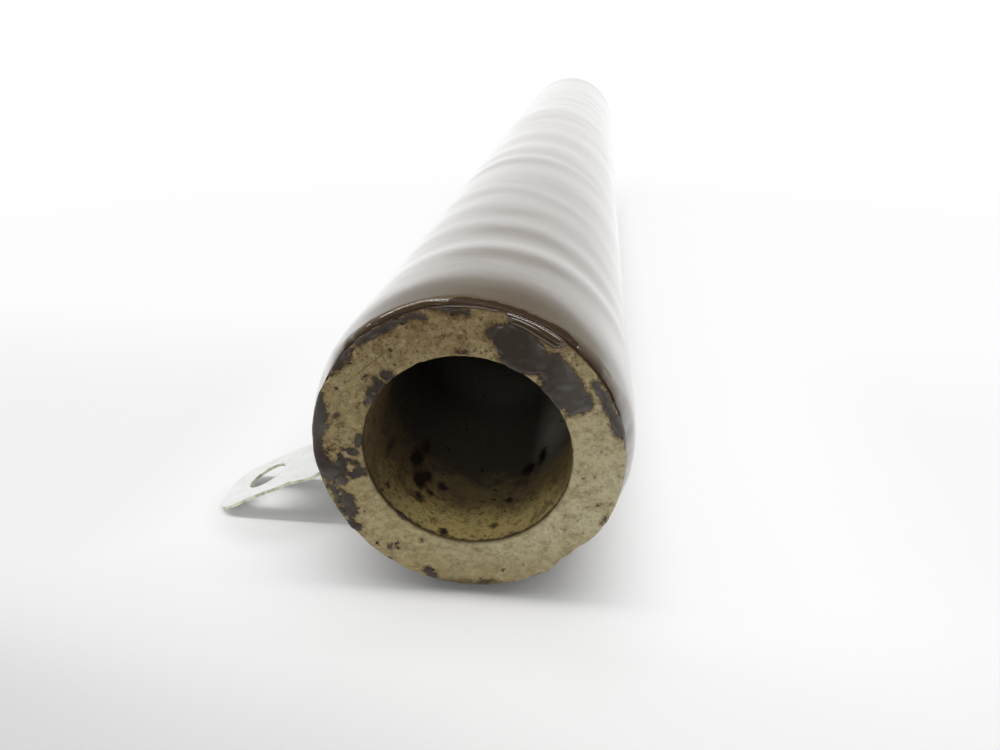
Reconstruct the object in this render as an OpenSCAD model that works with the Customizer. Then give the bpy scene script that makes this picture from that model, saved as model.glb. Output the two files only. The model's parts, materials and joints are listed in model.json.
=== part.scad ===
// Tubular wire-wound power resistor: a ceramic tube with one layer of wire between
// two strap terminals, all under a coat of vitreous enamel.
// The tube lies along Y with the middle of its bore on the origin, and +Z is up.

/* [Ceramic core] */
// Outer diameter of the ceramic tube
core_d = 28.6; // [24:0.1:34]
// Bore of the ceramic tube
bore_d = 19.4; // [14:0.1:20]
// Length of the ceramic tube
core_len = 266.7; // [200:0.1:300]

/* [Terminal straps] */
// Width of the terminal strip
strap_w = 9; // [6:0.1:10]
// Thickness of the terminal strip
strap_t = 0.4; // [0.3:0.05:0.5]
// Distance from the end of the tube to the edge of the strip
strap_inset = 10; // [7:0.5:20]
// Gap in the wrap where the strip turns outward, in degrees
seam_angle = 10; // [6:1:30]

/* [Solder lugs] */
// Place where the lug leaves the tube, in degrees below the horizontal
lug_angle = 21; // [10:1:30]
// Length of the neck that rises from the tube
neck_len = 7; // [5:0.1:8]
// Slope of the neck below the horizontal, in degrees
neck_dip = 36; // [30:1:42]
// Length of the level stretch between neck and pad
shank_len = 2.6; // [2.2:0.1:4]
// Slope of that stretch below the horizontal, in degrees
shank_dip = 15; // [10:1:20]
// Length of the pad that holds the hole
pad_len = 10.5; // [10:0.1:12]
// Diameter of the hole in the pad
lug_hole_d = 4.6; // [3:0.1:4.8]
// Distance from the centre of the hole to the tip of the pad
lug_hole_back = 5.7; // [4:0.1:6.5]
// Radius of the two corners of the pad
pad_corner_r = 2.9; // [1:0.1:2.9]
// Radius at the middle of the strip where it turns off the tube
root_bend_r = 0.8; // [0.5:0.1:1]
// Radius at the middle of the strip in the two bends of the lug
lug_bend_r = 4; // [2:0.5:5]

/* [Winding] */
// Diameter of the resistance wire
wire_d = 0.25; // [0.2:0.01:0.3]
// Number of turns of wire
wire_turns = 24; // [8:1:24]
// Length around the tube of the brazed bead that holds the wire
bead_w = 1.6; // [1:0.1:2.5]
// Length along the tube of the brazed bead
bead_len = 1.4; // [1:0.1:2.5]
// Place of the brazed beads, in degrees above the horizontal
bead_angle = 60; // [20:1:120]

/* [Enamel] */
// Mean thickness of the enamel
coat_t = 0.9; // [0.85:0.01:1.4]
// Half the height of the ridges that run round the enamel
ridge_h = 0.2; // [0:0.01:0.25]
// Distance between the first two ridges
ridge_pitch = 10.2; // [8:0.1:14]
// Extra distance that each ridge gains on the one before it
ridge_growth = 0.4; // [0.1:0.05:0.6]
// Extra thickness of the collar over each terminal strap
collar_h = 0.12; // [0:0.01:0.3]
// Distance from the end of the tube to the crest of the collar
collar_at = 8; // [6:0.5:12]
// Half length of the collar
collar_run = 5; // [3:0.5:8]
// Length of the rounded edge at each end of the enamel
edge_run = 3.4; // [2:0.1:5]
// Bare ceramic left at each end of the tube
edge_bare = 0.3; // [0:0.1:1]

/* [Hidden] */

// Clearance between pieces that seat on each other
fit = 0.02;
// Sides of a turned surface
turned_fn = 96;
// Distance along the tube between two points of the enamel's outline
coat_step = 1.6;
// Points on the rounded edge of the enamel
edge_steps = 8;
// Rings of the wire in one turn, and its sides
rings_per_turn = 24;
wire_sides = 6;
// Largest turn between two points of the strip's outline, in degrees
bend_step = 8;
wrap_step = 3;
// Reach of a cutting shape past the piece it cuts
over = 1;

core_r = core_d / 2;
wire_r = wire_d / 2;

// Strip: its middle surface round the core, and where its wrap ends
strap_mid_r = core_r + fit + strap_t / 2;
strap_top_r = core_r + fit + strap_t;
strap_end_y = strap_inset + strap_w;
wrap_end = 180 + lug_angle;

// Helix of the wire: the middle of each straight stretch clears the core
ring_angle = 360 / rings_per_turn;
wire_path_r = (core_r + wire_r + fit) / cos(ring_angle / 2);
lead_out = bead_w / 2 + wire_d;
wire_top_r = norm([wire_path_r + wire_r, lead_out]);
wire_inset = strap_end_y + fit + bead_len / 2;
lead_turn = 2 * ceil(lead_out / (wire_path_r * sin(ring_angle)) * 0.5 + 0.5) - 1;

// Pocket inside the enamel that holds the straps, the beads and the wire
pocket_r = max(strap_top_r, wire_top_r) + 2 * fit;

// ---- Enamel outline -------------------------------------------------------

// Number of ridges between the first one and a place s along the tube
function ridge_count(s) =
    (sqrt(pow(ridge_pitch, 2) + 2 * ridge_growth * (s - collar_at)) - ridge_pitch) / ridge_growth;

function collar(s) = collar_h * exp(-pow((s - collar_at) / collar_run, 2));

// Thickness of the enamel at a place s along the tube, away from its rounded edges
function coat(s) =
    coat_t + ridge_h * cos(360 * ridge_count(s)) + collar(s) + collar(core_len - s);

// The outline's places along the tube and its share of the full thickness there
edge_places = [
    for (k = [0 : edge_steps])
        [edge_bare + edge_run * (1 - cos(90 * k / edge_steps)), sin(90 * k / edge_steps)]
];
coat_from = edge_bare + edge_run;
coat_cells = ceil((core_len - 2 * coat_from) / coat_step);
coat_outline = concat(
    [for (p = edge_places) [core_r + fit + (coat(p[0]) - fit) * p[1], p[0]]],
    [
        for (k = [1 : coat_cells - 1])
            let (s = coat_from + k * (core_len - 2 * coat_from) / coat_cells)
            [core_r + coat(s), s]
    ],
    [
        for (k = [edge_steps : -1 : 0])
            let (s = core_len - edge_places[k][0])
            [core_r + fit + (coat(s) - fit) * edge_places[k][1], s]
    ]
);

// The body lies on the highest crest of its enamel
rest_z = -max([for (p = coat_outline) p[0]]);

// ---- Terminal strip, seen along the tube ----------------------------------

function heading(a) = [cos(a), sin(a)];
function left_of(a) = [-sin(a), cos(a)];

// Corner at point c from heading a0 to heading a1, rounded with radius r.
// Gives [x, z, heading] for each point of the arc.
function corner(c, a0, a1, r) =
    let (
        turn = a1 - a0,
        side = sign(turn),
        from = c - heading(a0) * r * tan(abs(turn) / 2),
        centre = from + left_of(a0) * r * side,
        steps = max(1, ceil(abs(turn) / bend_step))
    )
    [
        for (k = [0 : steps])
            let (a = a0 + turn * k / steps, p = centre - left_of(a) * r * side)
            [p[0], p[1], a]
    ];

neck_heading = 180 + neck_dip;
shank_heading = 180 + shank_dip;
wrap_heading = wrap_end + 90;
root_turn = wrap_heading - neck_heading;

// Corners of the strip's middle line: root, neck end, shank end
root_corner = heading(wrap_end) * strap_mid_r
    + heading(wrap_heading) * root_bend_r * tan(root_turn / 2);
neck_corner = root_corner + heading(neck_heading) * neck_len;
shank_corner = neck_corner + heading(shank_heading) * shank_len;

// The pad slopes down until the lower edge of its tip is level with rest_z
function pad_dip_for(rise) = asin((shank_corner[1] - rest_z - rise) / pad_len);
pad_dip = pad_dip_for(strap_t / 2 * cos(pad_dip_for(strap_t / 2)));
pad_heading = 180 + pad_dip;
pad_tip = shank_corner + heading(pad_heading) * pad_len;

wrap_points = [
    for (a = [wrap_end - 360 + seam_angle : wrap_step : wrap_end - wrap_step / 2])
        let (p = heading(a) * strap_mid_r)
        [p[0], p[1], a + 90]
];
lug_points = concat(
    corner(root_corner, wrap_heading, neck_heading, root_bend_r),
    corner(neck_corner, neck_heading, shank_heading, lug_bend_r),
    corner(shank_corner, shank_heading, pad_heading, lug_bend_r),
    [[pad_tip[0], pad_tip[1], pad_heading]]
);

// Outline of a strip of half thickness h along the given middle line
function strip(points, h) = concat(
    [for (p = points) [p[0], p[1]] + left_of(p[2]) * h],
    [for (k = [len(points) - 1 : -1 : 0]) [points[k][0], points[k][1]] - left_of(points[k][2]) * h]
);

// ---- Wire -----------------------------------------------------------------

// Centre of the wire after a number of rings, with the direction away from the axis
wire_rings = wire_turns * rings_per_turn;
wire_len = core_len - 2 * wire_inset;
function wire_ring(k) =
    let (a = bead_angle + k * ring_angle, s = wire_inset + wire_len * k / wire_rings)
    [[cos(a) * wire_path_r, s, sin(a) * wire_path_r], a];

// Ring on the straight lead beside a bead, off ahead of it or behind it
function lead_ring(s, off) =
    let (a = bead_angle)
    [[cos(a) * wire_path_r - sin(a) * off, s, sin(a) * wire_path_r + cos(a) * off], a];

wire_path = concat(
    [lead_ring(wire_inset, bead_w / 2), lead_ring(wire_inset, lead_out)],
    [for (k = [lead_turn : wire_rings - lead_turn]) wire_ring(k)],
    [
        lead_ring(core_len - wire_inset, -lead_out),
        lead_ring(core_len - wire_inset, -bead_w / 2)
    ]
);
wire_points = [
    for (p = wire_path, b = [0 : wire_sides - 1])
        let (c = 360 * b / wire_sides, out = wire_r * cos(c))
        p[0] + [cos(p[1]) * out, wire_r * sin(c), sin(p[1]) * out]
];
last_ring = (len(wire_path) - 1) * wire_sides;
wire_faces = concat(
    [for (b = [1 : wire_sides - 2]) [0, b, b + 1]],
    [for (b = [1 : wire_sides - 2]) [last_ring, last_ring + b + 1, last_ring + b]],
    [
        for (k = [0 : len(wire_path) - 2], b = [0 : wire_sides - 1])
            let (i = k * wire_sides, n = (b + 1) % wire_sides)
            [i + b, i + wire_sides + b, i + wire_sides + n]
    ],
    [
        for (k = [0 : len(wire_path) - 2], b = [0 : wire_sides - 1])
            let (i = k * wire_sides, n = (b + 1) % wire_sides)
            [i + b, i + wire_sides + n, i + n]
    ]
);

// Least distance between the surfaces of neighbouring turns
half_turn = rings_per_turn / 2;
wire_gap = min([
    for (k = [0 : len(wire_path) - half_turn - 1])
        for (n = [k + half_turn : min(k + 3 * half_turn, len(wire_path) - 1)])
            norm(wire_path[k][0] - wire_path[n][0])
]) - wire_d;
echo(str("least gap between turns of the wire: ", wire_gap, " mm"));

// ---- Shared shapes --------------------------------------------------------

// Puts a shape turned about Z onto the tube's axis, from the front end rearward
module on_axis() {
    translate([0, -core_len / 2, 0]) rotate([-90, 0, 0]) children();
}

// Strip outline, given as [x, z] points, widened along the tube from place s
module across(s, width) {
    translate([0, s + width - core_len / 2, 0]) rotate([90, 0, 0]) linear_extrude(width) children();
}

// Frame on the tip of the front pad: X past the tip, Y along the tube, Z through the strip
module on_pad_tip() {
    translate([pad_tip[0], strap_inset + strap_w / 2 - core_len / 2, pad_tip[1]])
        rotate([0, -pad_heading, 0]) children();
}

// What the rounded corners of the pad leave over
module pad_corners() {
    straight = strap_w / 2 - pad_corner_r;
    translate([0, 0, -over]) linear_extrude(2 * over) difference() {
        translate([-pad_corner_r, -strap_w / 2 - over]) square([pad_corner_r + over, strap_w + 2 * over]);
        translate([-pad_corner_r, straight]) circle(pad_corner_r, $fn = turned_fn);
        translate([-pad_corner_r, -straight]) circle(pad_corner_r, $fn = turned_fn);
        translate([-pad_corner_r - over, -straight]) square([pad_corner_r + over, 2 * straight]);
    }
}

// Strap and lug at the front end
module terminal() {
    difference() {
        across(strap_inset, strap_w) polygon(strip(concat(wrap_points, lug_points), strap_t / 2));
        on_pad_tip() pad_corners();
        on_pad_tip() translate([-lug_hole_back, 0, -over]) cylinder(d = lug_hole_d, h = 2 * over, $fn = turned_fn);
    }
}

// Slot through the front end of the enamel for the lug
module lug_slot() {
    across(strap_inset - fit, strap_w + 2 * fit) polygon(strip(lug_points, strap_t / 2 + fit));
}

// Brazed bead between the front strap's edge and the end of the wire
module braze() {
    rotate([0, -bead_angle, 0]) intersection() {
        on_axis() translate([0, 0, strap_end_y + fit]) difference() {
            cylinder(r = strap_top_r, h = bead_len, $fn = turned_fn);
            translate([0, 0, -over]) cylinder(r = core_r + fit, h = bead_len + 2 * over, $fn = turned_fn);
        }
        translate([0, -core_len / 2, -bead_w / 2]) cube([core_d, core_len, bead_w]);
    }
}

// ---- Pieces ---------------------------------------------------------------

module ceramic_core() {
    color("#b3a27e") on_axis() difference() {
        cylinder(d = core_d, h = core_len, $fn = turned_fn);
        translate([0, 0, -over]) cylinder(d = bore_d, h = core_len + 2 * over, $fn = turned_fn);
    }
}

module resistance_winding() {
    color("#8f8a80") translate([0, -core_len / 2, 0]) polyhedron(wire_points, wire_faces, convexity = 10);
}

module front_terminal() {
    color("#d6d8d0") terminal();
}

module rear_terminal() {
    color("#d6d8d0") mirror([0, 1, 0]) terminal();
}

module front_braze() {
    color("#b08a4a") braze();
}

module rear_braze() {
    color("#b08a4a") mirror([0, 1, 0]) braze();
}

module enamel_coat() {
    color("#4a3a33") difference() {
        on_axis() rotate_extrude($fn = turned_fn) polygon(concat(
            coat_outline,
            [
                [core_r + fit, core_len - strap_inset + fit],
                [pocket_r, core_len - strap_inset + fit],
                [pocket_r, strap_inset - fit],
                [core_r + fit, strap_inset - fit]
            ]
        ));
        lug_slot();
        mirror([0, 1, 0]) lug_slot();
    }
}

ceramic_core();
resistance_winding();
front_terminal();
rear_terminal();
front_braze();
rear_braze();
enamel_coat();
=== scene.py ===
"""Looks of a tubular wirewound power resistor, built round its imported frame.

A ceramic tube carries one layer of resistance wire between two strap terminals.
Dark vitreous enamel covers the wire and the straps, and leaves both end faces bare.
Sizes are in millimetres until a mesh is made, and the tube's front end is at -Y.
"""

import json
import logging
import math
from collections.abc import Sequence
from dataclasses import dataclass
from enum import Enum

import bpy
import numpy as np
from mathutils import Matrix, Vector, noise

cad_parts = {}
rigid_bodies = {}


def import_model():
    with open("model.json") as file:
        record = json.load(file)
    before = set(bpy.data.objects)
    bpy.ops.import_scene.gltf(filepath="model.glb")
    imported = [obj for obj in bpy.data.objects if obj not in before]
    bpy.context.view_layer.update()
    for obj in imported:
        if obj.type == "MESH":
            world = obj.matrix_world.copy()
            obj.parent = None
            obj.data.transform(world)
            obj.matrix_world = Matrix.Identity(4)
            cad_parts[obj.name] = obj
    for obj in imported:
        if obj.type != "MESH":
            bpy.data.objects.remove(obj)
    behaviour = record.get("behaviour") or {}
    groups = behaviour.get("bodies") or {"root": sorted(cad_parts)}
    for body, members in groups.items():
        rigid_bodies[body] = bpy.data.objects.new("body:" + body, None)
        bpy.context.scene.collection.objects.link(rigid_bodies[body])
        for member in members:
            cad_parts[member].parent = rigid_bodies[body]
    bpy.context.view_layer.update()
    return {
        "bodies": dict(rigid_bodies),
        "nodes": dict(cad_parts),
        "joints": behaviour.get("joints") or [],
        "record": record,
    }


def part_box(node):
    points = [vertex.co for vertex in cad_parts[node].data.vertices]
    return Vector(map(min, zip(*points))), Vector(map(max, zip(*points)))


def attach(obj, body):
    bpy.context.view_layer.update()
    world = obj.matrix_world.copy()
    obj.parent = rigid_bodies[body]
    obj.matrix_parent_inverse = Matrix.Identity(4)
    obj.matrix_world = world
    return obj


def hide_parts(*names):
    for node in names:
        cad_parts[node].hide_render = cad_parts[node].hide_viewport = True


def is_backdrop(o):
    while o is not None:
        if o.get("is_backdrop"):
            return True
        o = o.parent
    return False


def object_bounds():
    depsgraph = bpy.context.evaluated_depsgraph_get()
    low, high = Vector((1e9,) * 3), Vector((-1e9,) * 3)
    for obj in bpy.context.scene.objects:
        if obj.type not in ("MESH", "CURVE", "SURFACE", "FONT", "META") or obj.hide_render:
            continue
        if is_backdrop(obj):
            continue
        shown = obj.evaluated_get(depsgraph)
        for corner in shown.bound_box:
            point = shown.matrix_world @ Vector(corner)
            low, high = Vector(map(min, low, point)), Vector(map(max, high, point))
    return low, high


LOG = logging.getLogger("resistor")
MM = 0.001
BODY = "root"

# Radius at which noise is read round a rim
NOISE_R = 14.0

# Reach into glaze that a place well outside all marks starts from
OUTSIDE = -2.0

Point = tuple[float, float]
Colour = tuple[float, float, float]
Socket = bpy.types.NodeSocket
Input = Socket | float | Sequence[float]
Wash = tuple[Socket, float, float, float, Colour]
Station = tuple[float, float, float]


class Slot(Enum):
    """Material slots of the record."""

    CERAMIC = "ceramic"
    WIRE = "resistance_wire"
    STRIP = "tinned_strip"
    ENAMEL = "enamel"


class End(Enum):
    """The two ends of the tube, as directions along Y."""

    FRONT = -1
    REAR = 1


# ---- Small helpers --------------------------------------------------------


def ease(value: np.ndarray, low: float, high: float) -> np.ndarray:
    """Rises smoothly from 0 at low to 1 at high.

    Args:
        value: Numbers to ease.
        low: Value at which the rise starts.
        high: Value at which the rise ends.

    Returns:
        An array of the same shape, from 0 to 1.
    """
    t = np.clip((value - low) / (high - low), 0.0, 1.0)
    return t * t * (3.0 - 2.0 * t)


def ripple(points: np.ndarray, per_mm: float, octaves: int = 3, seed: float = 0.0) -> np.ndarray:
    """Smooth noise of about -1 to 1 at each point.

    Args:
        points: Points as rows of three numbers, in millimetres.
        per_mm: Waves in a millimetre.
        octaves: Layers of finer and finer noise.
        seed: Offset that gives another pattern.

    Returns:
        One number for each point.
    """
    shifted = points * per_mm + seed
    values = [noise.fractal(Vector(p), 1.0, 2.0, octaves, noise_basis="PERLIN_ORIGINAL") for p in shifted]
    return np.array(values)


def graded(start: float, stop: float, first: float, growth: float) -> np.ndarray:
    """Places from start to stop whose steps grow steadily.

    Args:
        start: First place.
        stop: Last place.
        first: Length of the first step.
        growth: Factor from one step to the next.

    Returns:
        The places, with both ends among them.
    """
    places = [start]
    step = first
    while places[-1] + step < stop:
        places.append(places[-1] + step)
        step *= growth
    share = (stop - start) / (places[-1] - start)
    return start + (np.array(places) - start) * share


def angle_gap(angle: np.ndarray, centre: float) -> np.ndarray:
    """Smallest turn from a centre angle to each angle, in degrees."""
    return (angle - centre + 180.0) % 360.0 - 180.0


def rim_places(angle: np.ndarray, third: np.ndarray | float) -> np.ndarray:
    """Places round a rim at which noise is read.

    Args:
        angle: Degrees from the top.
        third: Third coordinate, one number or one for each angle.

    Returns:
        Rows of three numbers.
    """
    turn = np.radians(angle)
    third = np.broadcast_to(third, turn.shape)
    return np.stack([NOISE_R * np.sin(turn), NOISE_R * np.cos(turn), third], axis=1)


def mount_radius(record: dict, name: str) -> float:
    """Radius of one of the record's mounts, in millimetres."""
    return next(mount["dims"]["r_mm"] for mount in record["mounts"] if mount["name"] == name)


def new_piece(name: str, points: np.ndarray, faces: Sequence[Sequence[int]]) -> bpy.types.Object:
    """Makes a smooth-shaded mesh object.

    Args:
        name: Name of the piece.
        points: Vertices as rows of three numbers, in millimetres.
        faces: Corners of each face, as indices into points.

    Returns:
        The new object, linked to the scene.
    """
    mesh = bpy.data.meshes.new(name)
    mesh.from_pydata((points * MM).tolist(), [], faces)
    mesh.polygons.foreach_set("use_smooth", np.ones(len(mesh.polygons), dtype=bool))
    mesh.update()
    piece = bpy.data.objects.new(name, mesh)
    bpy.context.scene.collection.objects.link(piece)
    return piece


def ring_faces(rows: int, around: int, closed: bool, flip: bool = False) -> list[tuple[int, ...]]:
    """Faces of a grid of rings.

    Args:
        rows: Number of rings.
        around: Points in each ring.
        closed: Whether the last ring joins the first.
        flip: Whether the faces are turned over.

    Returns:
        Four corners for each face.
    """
    faces = []
    for row in range(rows if closed else rows - 1):
        here = row * around
        there = (row + 1) % rows * around
        for k in range(around):
            n = (k + 1) % around
            face = (here + k, here + n, there + n, there + k)
            faces.append(face[::-1] if flip else face)
    return faces


def tag(piece: bpy.types.Object, name: str, values: np.ndarray) -> None:
    """Stores one number for each vertex of a piece, under a name that its finish reads."""
    layer = piece.data.attributes.new(name, "FLOAT", "POINT")
    layer.data.foreach_set("value", values.astype(np.float32).ravel())


def settle(piece: bpy.types.Object, slot: Slot, *nodes: str) -> None:
    """Puts a finished piece on the body and says what it stands for.

    Args:
        piece: The piece.
        slot: Material slot of the record; not used.
        nodes: CAD nodes that it replaces.
    """
    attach(piece, BODY)
    if nodes:
        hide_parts(*nodes)
    LOG.info("%s: %d faces, replaces %s", piece.name, len(piece.data.polygons), ", ".join(nodes) or "nothing")


# ---- Marks on the end faces and in the bore -------------------------------


@dataclass(frozen=True)
class Sector:
    """A stretch of the rim between two eased borders, in degrees from the top."""

    opens: Point
    closes: Point

    def share(self, angle: np.ndarray) -> np.ndarray:
        """Share of the stretch at each angle, 1 well inside it and 0 outside."""
        gap = angle_gap(angle, 0.0)
        return ease(gap, *self.opens) * (1.0 - ease(gap, *self.closes))


@dataclass(frozen=True)
class Patch:
    """A closed patch of glaze, by its outline."""

    outline: tuple[Point, ...]

    def inside(self, places: np.ndarray) -> np.ndarray:
        """How far each place lies inside the patch, in millimetres.

        Args:
            places: Places as rows of two numbers.

        Returns:
            One number for each place, negative outside.
        """
        x, z = places[:, 0], places[:, 1]
        nearest = np.full(len(places), np.inf)
        odd = np.zeros(len(places), dtype=bool)
        for (ax, az), (bx, bz) in zip(self.outline, self.outline[1:] + self.outline[:1]):
            nearest = np.minimum(nearest, line_gap(places, (ax, az), (bx, bz)))
            spans = (az > z) != (bz > z)
            rise = bz - az if bz != az else np.inf
            odd ^= spans & (x < (bx - ax) * (z - az) / rise + ax)
        return np.where(odd, nearest, -nearest)


@dataclass(frozen=True)
class Stroke:
    """A stroke or a spot of glaze, by its middle line."""

    half_width: float
    line: tuple[Point, ...]

    def inside(self, places: np.ndarray) -> np.ndarray:
        """How far each place lies inside the stroke, in millimetres.

        Args:
            places: Places as rows of two numbers.

        Returns:
            One number for each place, negative outside.
        """
        ends = self.line if len(self.line) > 1 else self.line * 2
        gaps = [line_gap(places, a, b) for a, b in zip(ends, ends[1:])]
        return self.half_width - np.min(gaps, axis=0)


def line_gap(places: np.ndarray, a: Point, b: Point) -> np.ndarray:
    """Distance from each place to the straight line between two points.

    Args:
        places: Places as rows of two numbers.
        a: One end of the line.
        b: The other end.

    Returns:
        One distance for each place.
    """
    start = np.array(a)
    run = np.array(b) - start
    length = max(float(run @ run), 1e-9)
    t = np.clip((places - start) @ run / length, 0.0, 1.0)
    return np.linalg.norm(places - start - t[:, None] * run, axis=1)


def deepest(marks: Sequence[Patch | Stroke], places: np.ndarray) -> np.ndarray:
    """How far each place lies inside the mark that covers it best."""
    return np.max([mark.inside(places) for mark in marks], axis=0)


# Glaze on the front face, as X and Z from the middle of the bore
FRONT_GLAZE = (
    Patch((
        (1.8, 12.1), (2.6, 12.8), (4.0, 12.95), (5.2, 12.5), (6.0, 11.9), (6.7, 11.2), (7.2, 10.5),
        (8.2, 10.3), (8.9, 9.6), (9.6, 8.7), (10.2, 7.7), (11.0, 6.6), (11.3, 5.8), (11.1, 5.2),
        (10.2, 5.0), (9.7, 4.55), (9.1, 4.6), (8.7, 5.1), (8.2, 4.8), (6.5, 6.5), (6.6, 7.4),
        (6.6, 8.5), (5.2, 8.3), (4.5, 7.5), (3.2, 9.2), (2.9, 10.2), (2.4, 11.4),
    )),
    Patch((
        (4.0, 13.2), (4.3, 13.7), (4.2, 14.6), (9.2, 11.6), (8.7, 11.2), (8.2, 11.3), (7.6, 10.9),
        (7.0, 11.3), (6.3, 11.9), (5.5, 12.6), (4.6, 12.9),
    )),
    Patch((
        (-11.9, 8.0), (-10.3, 10.2), (-9.8, 9.9), (-9.9, 9.3), (-10.8, 8.9), (-11.1, 8.1),
        (-11.6, 7.6), (-12.3, 7.3),
    )),
    Patch((
        (-12.9, 6.3), (-12.7, 5.0), (-12.8, 4.0), (-12.4, 3.0), (-12.9, 2.0), (-13.4, 1.0),
        (-13.2, 0.0), (-13.0, -1.0), (-12.4, -2.0), (-11.5, -3.0), (-13.6, -3.2), (-14.6, -2.0),
        (-14.8, 1.0), (-14.4, 4.0), (-13.4, 6.3),
    )),
    Stroke(0.42, ((11.3, 7.7), (12.2, 6.6), (12.9, 4.9), (13.6, 3.6))),
    Patch(((12.6, 4.5), (13.0, 3.4), (13.5, 2.6), (14.6, 2.6), (14.6, 4.6), (13.5, 4.4))),
    Stroke(0.08, ((12.8, -5.6), (12.5, -6.2))),
    Stroke(0.42, ((-9.6, 10.8), (-8.0, 11.4), (-7.0, 12.0), (-6.0, 12.5))),
    Stroke(0.3, ((-6.0, 12.5), (-4.5, 13.3), (-3.5, 13.2))),
    Stroke(0.25, ((-2.5, 14.1), (-1.0, 13.9), (0.3, 13.7))),
    Stroke(0.9, ((-12.3, -2.0),)),
    Stroke(0.7, ((-11.9, -3.2),)),
    Stroke(0.45, ((-11.0, -0.1),)),
    Stroke(0.5, ((-10.6, -0.5),)),
    Stroke(0.3, ((-11.7, -0.9), (-10.2, -1.7))),
    Stroke(0.45, ((-10.5, -2.6), (-9.9, -2.4))),
    Stroke(0.3, ((-11.2, -2.6),)),
    Stroke(0.6, ((-12.9, -2.9),)),
    Stroke(0.2, ((-11.2, 2.5),)),
    Stroke(0.3, ((-10.1, 1.7), (-9.8, 0.9))),
    Stroke(0.15, ((-11.8, 3.4),)),
    Stroke(0.15, ((-9.2, 7.0), (-8.9, 7.4))),
    Stroke(0.6, ((-11.6, -5.2), (-11.3, -6.5), (-11.2, -7.8), (-11.0, -8.4))),
    Stroke(0.3, ((-13.1, -4.2), (-12.5, -5.2), (-12.3, -6.0), (-11.8, -7.3))),
    Stroke(0.45, ((-7.0, 7.5), (-6.7, 7.6))),
    Stroke(0.45, ((-8.0, 7.0), (-8.2, 6.4), (-7.6, 6.6))),
    Stroke(0.35, ((-8.5, 5.3), (-8.3, 5.6))),
    Stroke(0.2, ((-0.6, 10.1), (0.1, 10.1))),
    Stroke(0.3, ((-3.9, -13.0), (-3.4, -13.4))),
    Stroke(0.2, ((-7.6, -10.6),)),
    Stroke(0.16, ((-4.5, -9.5),)),
    Stroke(0.16, ((1.2, -13.9), (2.3, -13.6))),
)

# Dark spots in the bore, as degrees from the top, depth from the front face, half length, half width
BORE_SPOTS = (
    (-134.0, 11.0, 1.9, 0.8), (-137.0, 14.0, 1.2, 0.6), (-141.0, 7.5, 1.1, 0.8),
    (-143.0, 8.8, 1.2, 0.7), (-144.0, 4.8, 0.6, 0.45), (-156.0, 8.6, 0.5, 0.5), (-150.0, 6.6, 0.3, 0.4),
    (-165.0, 1.3, 0.35, 0.4), (-139.0, 0.5, 0.3, 0.5), (140.0, 13.6, 1.4, 0.6), (150.0, 12.6, 1.2, 0.7),
    (160.0, 7.2, 0.35, 0.3), (167.0, 3.0, 0.25, 0.2), (-122.0, 2.6, 0.4, 0.25), (-112.0, 7.0, 1.2, 0.3),
)


# ---- Finishes -------------------------------------------------------------


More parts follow.
